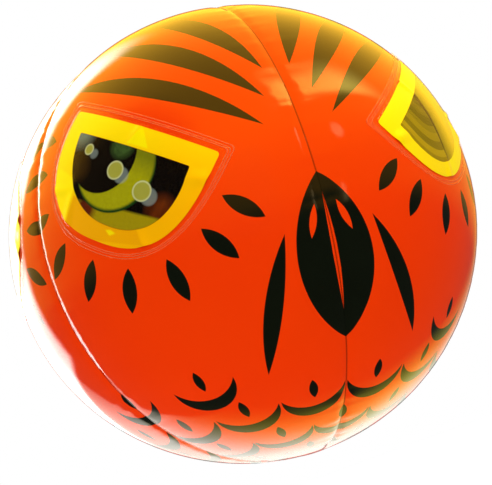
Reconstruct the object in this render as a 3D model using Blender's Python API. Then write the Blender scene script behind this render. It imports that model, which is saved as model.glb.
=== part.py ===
"""Inflatable owl decoy: a hanging ball of six welded film gores that carries six foil eyes under
clear covers, a push-in inflation valve and a fold-down hang tab with a metal eyelet.

Metres, +Z up. The origin is the centre of the eyelet, and the face on gores 1 and 2 looks
along -Y. Longitude is counted from -Y towards +X, in degrees, and latitude from the equator."""

import math

import bmesh
import bpy
from mathutils import Matrix, Vector

# Ball skin
EQUATOR_RADIUS = 0.305
POLE_RADIUS = 0.2985
FILM_THICKNESS = 0.0004
WELD_FIN_DEPTH = 0.005
POLE_HOLE_RADIUS = 0.016
POLE_DISC_RADIUS = 0.028
GORES = 6
FACES = 3
GORE_COLUMNS = 8
LATITUDE_ROWS = 24

# Gap that touching pieces keep, and the overrun of every cut
CLEARANCE = 0.0003
OVERRUN = 0.05

# Angles, in degrees: over which an edge is shaded sharp, and the step that a tangent is taken over
CREASE_ANGLE = 35
TANGENT_STEP = 0.1

# Eyes: a flat-topped patch, its window, and the clear cover welded round both
EYE_LATITUDE = 7.1
EYE_LONGITUDE = 36.8
EYE_TILT = 36.2
EYE_PATCH_WIDTH = 0.184
EYE_PATCH_DEPTH = 0.121
BROW_BORDER = 0.023
CHEEK_BORDER = 0.018
SIDE_BORDER = 0.022
COVER_RIM = 0.012
FOIL_THICKNESS = 0.0003
COVER_THICKNESS = 0.0003
PATCH_ROUNDNESS = 2.7
WINDOW_ROUNDNESS = 2.3
COVER_ROUNDNESS = 2.5
WINDOW_SLANT_SHARE = 0.12
EYE_OUTLINE_STEPS = 16

# Inflation valve, in gore 4 at the lower back
VALVE_GORE = 4
VALVE_ROW = 3
VALVE_COLUMN = 4
VALVE_SIDES = 20
FLANGE_RADIUS = 0.017
FLANGE_THICKNESS = 0.0008
COLLAR_RADIUS = 0.0076
COLLAR_DEPTH = 0.0035
STEM_RADIUS = 0.005
STEM_BORE_RADIUS = 0.0032
STEM_TRAVEL = 0.012
STEM_RUNNING_GAP = 0.0004
FILM_HOLE_MARGIN = 0.0012
LIP_RADIUS = 0.008
LIP_THICKNESS = 0.0012
RETAINER_RADIUS = 0.0068
RETAINER_THICKNESS = 0.0008
PLUG_HEAD_RADIUS = 0.0078
PLUG_HEAD_THICKNESS = 0.002
PLUG_PIN_RADIUS = 0.0027
PLUG_TIP_RADIUS = 0.002
PLUG_PIN_LENGTH = 0.006
STRAP_REACH = 0.014
STRAP_WIDTH = 0.005
STRAP_THICKNESS = 0.0008
FLAP_RADIUS = 0.0046
FLAP_THICKNESS = 0.0005
FLAP_HINGE_REACH = 0.006
FLAP_NECK_WIDTH = 0.003

# Hang tab, its weld base and its eyelet
TAB_BASE_LENGTH = 0.028
TAB_BASE_WIDTH = 0.016
TAB_BASE_THICKNESS = 0.0008
TAB_RIDGE_WIDTH = 0.003
TAB_FOLD_HEIGHT = 0.003
TAB_WIDTH = 0.028
TAB_THICKNESS = 0.0016
TAB_EDGE_STEPS = 8
EYELET_HEIGHT = 0.020
EYELET_SIDES = 24
EYELET_BORE_RADIUS = 0.005
EYELET_WALL = 0.0006
EYELET_FLANGE_RADIUS = 0.009
EYELET_FLANGE_THICKNESS = 0.0007
EYELET_FLARE_RADIUS = 0.0068

# Places worked out from those sizes
POLE_LATITUDE = math.degrees(math.acos(POLE_HOLE_RADIUS / EQUATOR_RADIUS))
DISC_TOP = (POLE_RADIUS + CLEARANCE + FILM_THICKNESS) * math.sin(math.radians(POLE_LATITUDE))
BASE_BOTTOM = DISC_TOP + CLEARANCE
FOLD_AXIS = BASE_BOTTOM + TAB_FOLD_HEIGHT
BALL_CENTRE = Vector((0, 0, -(FOLD_AXIS + EYELET_HEIGHT)))
WINDOW_WIDTH = EYE_PATCH_WIDTH - 2 * SIDE_BORDER
WINDOW_DEPTH = EYE_PATCH_DEPTH - BROW_BORDER - CHEEK_BORDER


def clear_scene():
    for thing in list(bpy.data.objects):
        bpy.data.objects.remove(thing, do_unlink=True)


def finish(name, colour, roughness, metallic=0.0, alpha=1.0):
    """A Principled material with one colour, for the solid model."""
    material = bpy.data.materials.new(name)
    material.use_nodes = True
    shader = material.node_tree.nodes["Principled BSDF"]
    shader.inputs["Base Color"].default_value = (*colour, 1.0)
    shader.inputs["Roughness"].default_value = roughness
    shader.inputs["Metallic"].default_value = metallic
    shader.inputs["Alpha"].default_value = alpha
    return material


def frame_empty(name, place):
    """An empty that pieces are parented to, at a place given in world space."""
    empty = bpy.data.objects.new(name, None)
    bpy.context.collection.objects.link(empty)
    empty.matrix_world = place
    return empty


def place_mesh(name, mesh, parent, location=(0, 0, 0), turn=0.0, material=None):
    """An object that shows a mesh, parented to a frame and turned about its own Z, in degrees."""
    thing = bpy.data.objects.new(name, mesh)
    bpy.context.collection.objects.link(thing)
    thing.parent = parent
    thing.location = location
    thing.rotation_euler = (0, 0, math.radians(turn))
    if material:
        mesh.materials.clear()
        mesh.materials.append(material)
    return thing


def closed_mesh(name, points, faces):
    """A mesh of one closed body whose faces point out."""
    mesh = bpy.data.meshes.new(name)
    mesh.from_pydata([tuple(point) for point in points], [], faces)
    shape = bmesh.new()
    shape.from_mesh(mesh)
    bmesh.ops.recalc_face_normals(shape, faces=shape.faces)
    shape.to_mesh(mesh)
    shape.free()
    return mesh


def shade_round(mesh):
    """Smooth shading, but sharp where faces meet at more than the crease angle."""
    mesh.shade_smooth()
    mesh.set_sharp_from_angle(angle=math.radians(CREASE_ANGLE))


def carve(target, tool, operation):
    """Applies one boolean to the target and removes the tool."""
    step = target.modifiers.new("carve", "BOOLEAN")
    step.operation = operation
    step.object = tool
    bpy.context.view_layer.update()
    seen = bpy.context.evaluated_depsgraph_get()
    result = bpy.data.meshes.new_from_object(target.evaluated_get(seen))
    target.modifiers.clear()
    target.data = result
    bpy.data.objects.remove(tool, do_unlink=True)


def skin_point(latitude, longitude, height=0.0):
    """A point at a height over the ball's outer skin, in the ball's own frame."""
    up, round_ = math.radians(latitude), math.radians(longitude)
    reach = (EQUATOR_RADIUS + height) * math.cos(up)
    return Vector((reach * math.sin(round_), -reach * math.cos(round_), (POLE_RADIUS + height) * math.sin(up)))


def row_latitude(row):
    """Latitude of a ring of the skin's lattice; the first and last rings edge the pole holes."""
    latitude = -90 + 180 * row / LATITUDE_ROWS
    return max(-POLE_LATITUDE, min(POLE_LATITUDE, latitude))


def column_longitude(column):
    """Longitude of a column of the lattice, counted from a gore's first seam."""
    return 360 / GORES * column / GORE_COLUMNS


def loop_body(name, rings, cap):
    """A closed body through rings of points, with the end faces that the cap lists."""
    size = len(rings[0])
    points = [point for ring in rings for point in ring]
    faces = []
    for row in range(len(rings) - 1):
        for spot in range(size):
            after = (spot + 1) % size
            first, second = row * size, (row + 1) * size
            faces.append((first + spot, first + after, second + after, second + spot))
    last = (len(rings) - 1) * size
    for face in cap:
        faces.append(tuple(face))
        faces.append(tuple(last + spot for spot in face))
    return closed_mesh(name, points, faces)


def extruded(name, outline, low, high, place):
    """A straight body: an outline of (x, y) points, from a low to a high z, moved by a placing matrix."""
    rings = [[place @ Vector((x, y, z)) for x, y in outline] for z in (low, high)]
    return loop_body(name, rings, [range(len(outline))])


def turned(name, outline, sides):
    """A body turned about Z from a closed outline of (radius, z) points that stays off the axis."""
    points, faces = [], []
    size = len(outline)
    for step in range(sides):
        angle = 2 * math.pi * step / sides
        points += [Vector((r * math.cos(angle), r * math.sin(angle), z)) for r, z in outline]
        first, second = step * size, (step + 1) % sides * size
        for spot in range(size):
            after = (spot + 1) % size
            faces.append((first + spot, first + after, second + after, second + spot))
    return closed_mesh(name, points, faces)


def stacked(name, outline, sides):
    """A solid turned about Z from (radius, z) points given from one end to the other."""
    rings = []
    for r, z in outline:
        rings.append([
            Vector((r * math.cos(2 * math.pi * step / sides), r * math.sin(2 * math.pi * step / sides), z))
            for step in range(sides)
        ])
    return loop_body(name, rings, [range(sides)])


def block(name, low, high):
    """A box between two corners."""
    outline = [(low[0], low[1]), (high[0], low[1]), (high[0], high[1]), (low[0], high[1])]
    return extruded(name, outline, low[2], high[2], Matrix.Identity(4))


def film_sheet(name, low, high):
    """One gore's width of the lattice as a closed sheet between two heights over the skin."""
    rows = [row_latitude(row) for row in range(1, LATITUDE_ROWS)]
    columns = [column_longitude(column) for column in range(GORE_COLUMNS + 1)]
    rings = []
    for latitude in rows:
        over = [skin_point(latitude, longitude, high) for longitude in columns]
        under = [skin_point(latitude, longitude, low) for longitude in reversed(columns)]
        rings.append(over + under)
    width = len(columns)
    cap = [(i, i + 1, 2 * width - 2 - i, 2 * width - 1 - i) for i in range(width - 1)]
    return loop_body(name, rings, cap)


def seam_spots(latitude, longitude, side):
    """Outer corner, the fin's two lower corners and the inner corner of a gore's edge at a seam."""
    away = Vector((math.cos(math.radians(longitude)), math.sin(math.radians(longitude)), 0)) * side
    edge = away * CLEARANCE / 2
    inner = away * (CLEARANCE / 2 + FILM_THICKNESS)
    return [
        skin_point(latitude, longitude) + edge,
        skin_point(latitude, longitude, -WELD_FIN_DEPTH) + edge,
        skin_point(latitude, longitude, -WELD_FIN_DEPTH) + inner,
        skin_point(latitude, longitude, -FILM_THICKNESS) + inner,
    ]


def gore_mesh():
    """A gore panel: curved film with a weld fin turned inwards along both of its seams."""
    columns = [column_longitude(column) for column in range(1, GORE_COLUMNS)]
    rings = []
    for row in range(LATITUDE_ROWS + 1):
        latitude = row_latitude(row)
        start = seam_spots(latitude, 0, 1)
        end = seam_spots(latitude, 360 / GORES, -1)
        over = [skin_point(latitude, longitude) for longitude in columns]
        under = [skin_point(latitude, longitude, -FILM_THICKNESS) for longitude in reversed(columns)]
        rings.append([start[0], *over, *end, *under, *reversed(start[1:])])
    inner = len(columns)
    count = len(rings[0])
    over = list(range(inner + 2))
    under = [count - 3, *range(count - 4, count - 4 - inner, -1), inner + 4]
    cap = [(over[i], over[i + 1], under[i + 1], under[i]) for i in range(inner + 1)]
    cap.append((0, count - 3, count - 2, count - 1))
    cap.append((inner + 1, inner + 2, inner + 3, inner + 4))
    return loop_body("gore_panel", rings, cap)


def pole_disc_mesh(side):
    """A weld disc over the gore tips at one pole: flat in the middle, then down the first facets."""
    inner, outer = row_latitude(LATITUDE_ROWS), row_latitude(LATITUDE_ROWS - 1)
    outer_radius = EQUATOR_RADIUS * math.cos(math.radians(outer))
    share = (POLE_DISC_RADIUS - POLE_HOLE_RADIUS) / (outer_radius - POLE_HOLE_RADIUS)
    rings = []
    for height in (CLEARANCE, CLEARANCE + FILM_THICKNESS):
        flat, edge = [], []
        for column in range(GORES * GORE_COLUMNS):
            longitude = column_longitude(column)
            top = skin_point(inner, longitude, height)
            flat.append(top)
            edge.append(top.lerp(skin_point(outer, longitude, height), share))
        rings += [flat, edge] if height == CLEARANCE else [edge, flat]
    for ring in rings:
        for point in ring:
            point.z *= side
    return loop_body("pole_disc", rings, [range(GORES * GORE_COLUMNS)])


def eye_frame():
    """Placing matrix of an eye on the right half of a face: x along the brow, y up, z outwards."""
    spot = skin_point(EYE_LATITUDE, EYE_LONGITUDE)
    east = (skin_point(EYE_LATITUDE, EYE_LONGITUDE + TANGENT_STEP) - spot).normalized()
    north = (skin_point(EYE_LATITUDE + TANGENT_STEP, EYE_LONGITUDE) - spot).normalized()
    tilt = math.radians(EYE_TILT)
    along = east * math.cos(tilt) + north * math.sin(tilt)
    outward = east.cross(north).normalized()
    above = outward.cross(along)
    place = Matrix((along, above, outward)).transposed().to_4x4()
    place.translation = spot
    return place


def eye_outline(width, depth, top, roundness, slant_share=0.0):
    """A flat-topped outline with a bulging lower side, laid round the ball and seen along its axis."""
    outline = []
    for step in range(EYE_OUTLINE_STEPS + 1):
        angle = math.pi * step / EYE_OUTLINE_STEPS
        across = math.copysign(abs(math.cos(angle)) ** (2 / roundness), math.cos(angle))
        down = math.sin(angle) ** (2 / roundness) if 0 < step < EYE_OUTLINE_STEPS else 0.0
        x = width / 2 * across - slant_share * depth * down
        y = top - depth * down
        reach = math.hypot(x, y) / EQUATOR_RADIUS
        seen = math.sin(reach) / reach
        outline.append((x * seen, y * seen))
    return outline


def eye_cutter(outline, ball, place):
    mesh = extruded("eye_cutter", outline, -OVERRUN, OVERRUN, place)
    return place_mesh("eye_cutter", mesh, ball)


def eye_shape(name, ball, place, low, high, outline):
    """The part of a film sheet that lies inside an eye outline."""
    shape = place_mesh(name, film_sheet(name, low, high), ball)
    carve(shape, eye_cutter(outline, ball, place), "INTERSECT")
    return shape


def eye_meshes(ball):
    """The patch, lens and cover of one eye on the right half of a face."""
    place = eye_frame()
    top = EYE_PATCH_DEPTH / 2
    foil_top = CLEARANCE + FOIL_THICKNESS
    ceiling = foil_top + CLEARANCE
    patch_line = eye_outline(EYE_PATCH_WIDTH, EYE_PATCH_DEPTH, top, PATCH_ROUNDNESS)
    window = (WINDOW_WIDTH, WINDOW_DEPTH, top - BROW_BORDER)
    lens_line = eye_outline(*window, WINDOW_ROUNDNESS, WINDOW_SLANT_SHARE)
    grown = (window[0] + 2 * CLEARANCE, window[1] + 2 * CLEARANCE, window[2] + CLEARANCE)
    hole_line = eye_outline(*grown, WINDOW_ROUNDNESS, WINDOW_SLANT_SHARE)
    pocket_line = eye_outline(EYE_PATCH_WIDTH + 4 * CLEARANCE, EYE_PATCH_DEPTH + 4 * CLEARANCE,
                              top + 2 * CLEARANCE, PATCH_ROUNDNESS)
    cover_line = eye_outline(EYE_PATCH_WIDTH + 2 * COVER_RIM, EYE_PATCH_DEPTH + 2 * COVER_RIM,
                             top + COVER_RIM, COVER_ROUNDNESS)

    patch = eye_shape("eye_patch", ball, place, CLEARANCE, foil_top, patch_line)
    carve(patch, eye_cutter(hole_line, ball, place), "DIFFERENCE")
    lens = eye_shape("eye_lens", ball, place, CLEARANCE, foil_top, lens_line)
    cover = eye_shape("eye_cover", ball, place, CLEARANCE, ceiling + COVER_THICKNESS, cover_line)
    pocket = eye_shape("pocket", ball, place, -FILM_THICKNESS, ceiling, pocket_line)
    carve(cover, pocket, "DIFFERENCE")
    meshes = {}
    for shape in (patch, lens, cover):
        meshes[shape.name] = shape.data
        bpy.data.objects.remove(shape, do_unlink=True)
    return meshes


def mirrored(mesh):
    """The same mesh for the left half of a face."""
    other = mesh.copy()
    other.transform(Matrix.Scale(-1, 4, (1, 0, 0)))
    other.flip_normals()
    return other


def valve_frame():
    """Placing matrix of the valve: z outwards through the middle of one facet of its gore."""
    start = 360 / GORES * (VALVE_GORE - 2)
    corners = []
    for row, column in ((0, 0), (0, 1), (1, 1), (1, 0)):
        longitude = start + column_longitude(VALVE_COLUMN + column)
        corners.append(skin_point(row_latitude(VALVE_ROW + row), longitude))
    middle = sum(corners, Vector()) / len(corners)
    outward = (corners[2] - corners[0]).cross(corners[3] - corners[1]).normalized()
    along = (corners[1] - corners[0]).normalized()
    place = Matrix((along, outward.cross(along), outward)).transposed().to_4x4()
    place.translation = middle
    return place


# Heights of the valve's faces over the film's outer face, along the valve's own axis
MOUTH = CLEARANCE + LIP_THICKNESS
HEAD_BOTTOM = MOUTH + CLEARANCE
FLANGE_TOP = -(FILM_THICKNESS + CLEARANCE)
COLLAR_BOTTOM = FLANGE_TOP - FLANGE_THICKNESS - COLLAR_DEPTH
RETAINER_TOP = COLLAR_BOTTOM - CLEARANCE - STEM_TRAVEL
STEM_BOTTOM = RETAINER_TOP - RETAINER_THICKNESS
TONGUE_TOP = CLEARANCE + STRAP_THICKNESS
STRAP_BOTTOM = HEAD_BOTTOM + CLEARANCE
STRAP_HINGE = (TONGUE_TOP + STRAP_BOTTOM) / 2
FLAP_TOP = STEM_BOTTOM - CLEARANCE
FLAP_HINGE = FLAP_TOP - FLAP_THICKNESS / 2


def valve_flange(ball, valve, material):
    """Weld flange under the film with the collar that the stem slides in."""
    gore_start = 360 / GORES * (VALVE_GORE - 2)
    sheet = film_sheet("valve_flange", FLANGE_TOP - FLANGE_THICKNESS, FLANGE_TOP)
    flange = place_mesh("valve_flange", sheet, ball, turn=gore_start)
    outer = [(FLANGE_RADIUS, -OVERRUN), (FLANGE_RADIUS, OVERRUN)]
    carve(flange, place_mesh("cut", stacked("cut", outer, VALVE_SIDES), valve), "INTERSECT")
    collar = [(COLLAR_RADIUS, COLLAR_BOTTOM), (COLLAR_RADIUS, FLANGE_TOP - FLANGE_THICKNESS / 2)]
    carve(flange, place_mesh("collar", stacked("collar", collar, VALVE_SIDES), valve), "UNION")
    bore = [(STEM_RADIUS + STEM_RUNNING_GAP, -OVERRUN), (STEM_RADIUS + STEM_RUNNING_GAP, OVERRUN)]
    carve(flange, place_mesh("bore", stacked("bore", bore, VALVE_SIDES), valve), "DIFFERENCE")
    flange.data.materials.clear()
    flange.data.materials.append(material)
    shade_round(flange.data)


def valve_stem(valve, material):
    """Bored stem with its lip, the retaining ring at its inner end and the tongue of the strap."""
    outline = [
        (STEM_BORE_RADIUS, STEM_BOTTOM), (RETAINER_RADIUS, STEM_BOTTOM), (RETAINER_RADIUS, RETAINER_TOP),
        (STEM_RADIUS, RETAINER_TOP), (STEM_RADIUS, CLEARANCE), (LIP_RADIUS, CLEARANCE),
        (LIP_RADIUS, MOUTH), (STEM_BORE_RADIUS, MOUTH),
    ]
    stem = place_mesh("valve_stem", turned("valve_stem", outline, VALVE_SIDES), valve)
    root = (STEM_RADIUS + LIP_RADIUS) / 2
    tongue = block("tongue", (-STRAP_REACH, -STRAP_WIDTH / 2, CLEARANCE), (-root, STRAP_WIDTH / 2, TONGUE_TOP))
    carve(stem, place_mesh("tongue", tongue, valve), "UNION")
    stem.data.materials.clear()
    stem.data.materials.append(material)
    shade_round(stem.data)
    return stem


def valve_plug(stem, material):
    """Stopper with its tapered pin and the strap that hinges it to the end of the tongue."""
    outline = [
        (PLUG_TIP_RADIUS, HEAD_BOTTOM - PLUG_PIN_LENGTH), (PLUG_PIN_RADIUS, HEAD_BOTTOM),
        (PLUG_HEAD_RADIUS, HEAD_BOTTOM), (PLUG_HEAD_RADIUS, HEAD_BOTTOM + PLUG_HEAD_THICKNESS),
    ]
    hinge = Vector((-STRAP_REACH, 0, STRAP_HINGE))
    mesh = stacked("valve_plug", outline, VALVE_SIDES)
    mesh.transform(Matrix.Translation(-hinge))
    plug = place_mesh("valve_plug", mesh, stem, hinge)
    root = (PLUG_PIN_RADIUS + PLUG_HEAD_RADIUS) / 2
    low = Vector((-STRAP_REACH, -STRAP_WIDTH / 2, STRAP_BOTTOM)) - hinge
    high = Vector((-root, STRAP_WIDTH / 2, STRAP_BOTTOM + STRAP_THICKNESS)) - hinge
    carve(plug, place_mesh("strap", block("strap", low, high), stem, hinge), "UNION")
    plug.data.materials.clear()
    plug.data.materials.append(material)
    shade_round(plug.data)


def check_flap(stem, material):
    """Flap that shuts the stem's inner end, with the neck that it bends at."""
    half = FLAP_NECK_WIDTH / 2
    start = math.asin(half / FLAP_RADIUS)
    outline = [(FLAP_HINGE_REACH, -half), (FLAP_HINGE_REACH, half)]
    for step in range(VALVE_SIDES):
        angle = start + (2 * math.pi - 2 * start) * step / (VALVE_SIDES - 1)
        outline.append((FLAP_RADIUS * math.cos(angle), FLAP_RADIUS * math.sin(angle)))
    hinge = Vector((FLAP_HINGE_REACH, 0, FLAP_HINGE))
    mesh = extruded("check_flap", outline, FLAP_TOP - FLAP_THICKNESS, FLAP_TOP, Matrix.Translation(-hinge))
    flap = place_mesh("check_flap", mesh, stem, hinge, material=material)
    shade_round(flap.data)


def tab_base(ball, material):
    """Weld pad on the top disc with the low ridge that the tab folds over."""
    half, ridge = TAB_BASE_WIDTH / 2, TAB_RIDGE_WIDTH / 2
    pad_top = BASE_BOTTOM + TAB_BASE_THICKNESS
    ridge_top = FOLD_AXIS - TAB_THICKNESS / 2 - CLEARANCE
    outline = [
        (-half, BASE_BOTTOM), (half, BASE_BOTTOM), (half, pad_top), (ridge, pad_top),
        (ridge, ridge_top), (-ridge, ridge_top), (-ridge, pad_top), (-half, pad_top),
    ]
    sideways = Matrix(((0, 0, 1), (1, 0, 0), (0, 1, 0))).to_4x4()
    mesh = extruded("tab_base", outline, -TAB_BASE_LENGTH / 2, TAB_BASE_LENGTH / 2, sideways)
    place_mesh("tab_base", mesh, ball, material=material)


def hang_tab(tab, material):
    """Welded double strip that folds about X: round top, round lower edge and the eyelet's hole."""
    half, reach = TAB_THICKNESS / 2, TAB_WIDTH / 2
    top = EYELET_HEIGHT + reach
    outline = [(half, top), (-half, top)]
    for step in range(TAB_EDGE_STEPS + 1):
        angle = math.pi + math.pi * step / TAB_EDGE_STEPS
        outline.append((half * math.cos(angle), half * math.sin(angle)))
    sideways = Matrix(((0, 0, 1), (1, 0, 0), (0, 1, 0))).to_4x4()
    strip = place_mesh("hang_tab", extruded("hang_tab", outline, -reach, reach, sideways), tab)

    crown = [(-reach - OVERRUN, -OVERRUN), (-reach - OVERRUN, EYELET_HEIGHT)]
    for step in range(EYELET_SIDES // 2 + 1):
        angle = math.pi - math.pi * step / (EYELET_SIDES // 2)
        crown.append((reach * math.cos(angle), EYELET_HEIGHT + reach * math.sin(angle)))
    crown += [(reach + OVERRUN, EYELET_HEIGHT), (reach + OVERRUN, -OVERRUN)]
    upright = Matrix(((1, 0, 0), (0, 0, -1), (0, 1, 0))).to_4x4()
    keep = extruded("crown", crown, -OVERRUN, OVERRUN, upright)
    carve(strip, place_mesh("crown", keep, tab), "INTERSECT")

    radius = EYELET_BORE_RADIUS + EYELET_WALL + CLEARANCE
    hole = stacked("hole", [(radius, -OVERRUN), (radius, OVERRUN)], EYELET_SIDES)
    hole.transform(Matrix.Translation((0, 0, EYELET_HEIGHT)) @ upright)
    carve(strip, place_mesh("hole", hole, tab), "DIFFERENCE")
    strip.data.materials.clear()
    strip.data.materials.append(material)
    shade_round(strip.data)


def eyelet_pieces(tab, material):
    """The eyelet's flanged barrel, and the washer that its flared end holds at the back."""
    face = TAB_THICKNESS / 2 + CLEARANCE
    outer = face + EYELET_FLANGE_THICKNESS
    wall = EYELET_BORE_RADIUS + EYELET_WALL
    flare = outer + CLEARANCE
    barrel = [
        (EYELET_BORE_RADIUS, -outer), (EYELET_FLANGE_RADIUS, -outer), (EYELET_FLANGE_RADIUS, -face),
        (wall, -face), (wall, flare), (EYELET_FLARE_RADIUS, flare),
        (EYELET_FLARE_RADIUS, flare + EYELET_WALL), (EYELET_BORE_RADIUS, flare + EYELET_WALL),
    ]
    bore = wall + CLEARANCE
    washer = [(bore, face), (EYELET_FLANGE_RADIUS, face), (EYELET_FLANGE_RADIUS, outer), (bore, outer)]
    backward = Matrix(((1, 0, 0), (0, 0, 1), (0, -1, 0))).to_4x4()
    for name, outline in (("eyelet_barrel", barrel), ("eyelet_washer", washer)):
        mesh = turned(name, outline, EYELET_SIDES)
        mesh.transform(backward)
        shade_round(mesh)
        place_mesh(name, mesh, tab, (0, 0, EYELET_HEIGHT), material=material)


def skin(ball, valve, material):
    """Six gores and two pole discs; the valve's gore has a hole for the stem."""
    mesh = gore_mesh()
    shade_round(mesh)
    for number in range(1, GORES + 1):
        turn = 360 / GORES * (number - 2)
        gore = place_mesh(f"gore_panel_{number}", mesh.copy(), ball, turn=turn, material=material)
        if number == VALVE_GORE:
            radius = STEM_RADIUS + FILM_HOLE_MARGIN
            hole = stacked("hole", [(radius, FLANGE_TOP), (radius, OVERRUN)], VALVE_SIDES)
            carve(gore, place_mesh("hole", hole, valve), "DIFFERENCE")
    for name, side in (("top_pole_disc", 1), ("bottom_pole_disc", -1)):
        disc = pole_disc_mesh(side)
        shade_round(disc)
        place_mesh(name, disc, ball, material=material)


def eyes(ball, materials):
    """Three faces of two eyes each: eye n lies on gore n."""
    for kind, mesh in eye_meshes(ball).items():
        halves = (mirrored(mesh), mesh)
        for number in range(1, GORES + 1):
            turn = 360 / FACES * ((number - 1) // 2)
            half = halves[(number - 1) % 2].copy()
            shade_round(half)
            place_mesh(f"{kind}_{number}", half, ball, turn=turn, material=materials[kind])


def build():
    clear_scene()
    orange = finish("orange_film", (0.80, 0.10, 0.01), 0.12)
    yellow = finish("yellow_foil", (0.90, 0.60, 0.01), 0.15)
    dark = finish("lens_foil", (0.03, 0.05, 0.02), 0.08)
    clear = finish("clear_film", (0.95, 0.93, 0.85), 0.05, alpha=0.25)
    valve_plastic = finish("valve_plastic", (0.85, 0.85, 0.82), 0.35)
    metal = finish("eyelet_metal", (0.62, 0.60, 0.56), 0.25, metallic=1.0)

    ball = frame_empty("ball_frame", Matrix.Translation(BALL_CENTRE))
    valve = frame_empty("valve_frame", Matrix.Translation(BALL_CENTRE) @ valve_frame())
    tab = frame_empty("tab_frame", Matrix.Translation((0, 0, -EYELET_HEIGHT)))

    skin(ball, valve, orange)
    eyes(ball, {"eye_patch": yellow, "eye_lens": dark, "eye_cover": clear})
    valve_flange(ball, valve, valve_plastic)
    stem = valve_stem(valve, valve_plastic)
    valve_plug(stem, valve_plastic)
    check_flap(stem, valve_plastic)
    tab_base(ball, orange)
    hang_tab(tab, orange)
    eyelet_pieces(tab, metal)


build()
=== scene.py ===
"""The inflatable owl decoy, lit and seen as in its photograph: fine film, foil and valve pieces on
the solid model's bodies, their materials, and a plain studio.

Metres, +Z up. The origin is the centre of the hang eyelet. Longitude is counted from -Y towards
+X and latitude from the equator, both in degrees."""

import math

import bmesh
import bpy
import numpy as np
from mathutils import Matrix, Vector


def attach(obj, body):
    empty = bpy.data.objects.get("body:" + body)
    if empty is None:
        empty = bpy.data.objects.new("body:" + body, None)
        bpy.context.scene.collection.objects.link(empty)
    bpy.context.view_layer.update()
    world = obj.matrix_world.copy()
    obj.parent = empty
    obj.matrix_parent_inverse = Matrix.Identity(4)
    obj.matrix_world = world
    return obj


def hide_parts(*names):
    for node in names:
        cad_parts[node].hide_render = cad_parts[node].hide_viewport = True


MILLIMETRE = 0.001

# Ball
EQUATOR_RADIUS = 0.305
POLE_RADIUS = 0.2985
BALL_CENTRE = Vector((0, 0, -0.322088))
FILM_THICKNESS = 0.0004
WELD_FIN_DEPTH = 0.005
POLE_HOLE_RADIUS = 0.016
POLE_LATITUDE = math.degrees(math.acos(POLE_HOLE_RADIUS / EQUATOR_RADIUS))
GORES = 6
GORE_ANGLE = 360 / GORES
CLEARANCE = 0.0003
GORE_ROWS = 190
GORE_COLUMNS = 36

# Pole discs: where their outline has points, as shares of the flat and of the slope, and their weld
POLE_DISC_RADIUS = 0.028
DISC_FLAT_SHARES = (0.35, 0.7, 1.0)
DISC_SLOPE_SHARES = (0.25, 0.5, 0.75, 1.0)
DISC_WELD_SHARE = 0.9
DISC_WELD_WIDTH = 0.002
DISC_WELD_HEIGHT = 0.0003

# Seams between the gores: the film is drawn in along each, and puckers run into it
SEAM_DRAW = 0.0028
SEAM_DRAW_POWER = 4
SEAM_VALLEY_DEPTH = 0.0012
SEAM_VALLEY_WIDTH = 0.0045
PUCKER_HEIGHT = 0.00022
PUCKER_REACH = 0.014
PUCKER_LENGTHS = (0.031, 0.019, 0.0125)
PUCKER_DRIFT = 1.7
PUCKER_DRIFT_LENGTHS = 3.1
PUCKER_SEAM_SHIFT = 2.3
RELIEF_FADE_START = 74.0
RELIEF_FADE_END = 84.0

# Eyes
EYE_LATITUDE = 7.1
EYE_LONGITUDE = 36.8
EYE_TILT = 36.2
EYE_PATCH_WIDTH = 0.184
EYE_PATCH_DEPTH = 0.121
BROW_BORDER = 0.023
CHEEK_BORDER = 0.018
SIDE_BORDER = 0.022
COVER_RIM = 0.012
FOIL_THICKNESS = 0.0003
COVER_THICKNESS = 0.0003
POCKET_REACH = 0.003
PATCH_ROUNDNESS = 2.7
WINDOW_ROUNDNESS = 2.3
COVER_ROUNDNESS = 2.5
PATCH_CORNER_SHARE = 0.6
WINDOW_CORNER_SHARE = 0.2
WINDOW_SLANT_SHARE = 0.12
WINDOW_WIDTH = EYE_PATCH_WIDTH - 2 * SIDE_BORDER
WINDOW_DEPTH = EYE_PATCH_DEPTH - BROW_BORDER - CHEEK_BORDER
WINDOW_TOP = EYE_PATCH_DEPTH / 2 - BROW_BORDER
ARC_STEPS = 96
BROW_STEPS = 60
FINE_STEPS = 800
RING_STEPS = 16
RIM_STEPS = 18
RELIEF_PASSES = 2
WELD_BEAD_PLACES = (0.0062, 0.0110)
WELD_BEAD_HEIGHT = 0.0009
WELD_BEAD_WIDTH = 0.0008
# Weld lines on the clear film: lighter orange, partly a painted highlight of the weld beads
WELD_LINE_PLACES = (0.0062, 0.0082, 0.0110)
WELD_LINE_HALF_WIDTH = 0.0007
WELD_LINE_STRENGTH = 0.35

# Creases of the foil: start, end and reach to each side, in millimetres of the flat pattern
FOIL_CREASE_HEIGHT = 0.0022
CREASE_FADE_SHARE = 0.8
FOIL_CREASES = (
    ((46, -56), (48, -12), 8),
    ((76, -28), (48, -22), 7),
    ((-5, 61), (1, 38), 7),
    ((-53, -50), (-38, -32), 8),
    ((-86, 30), (-66, 24), 9),
)

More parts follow.
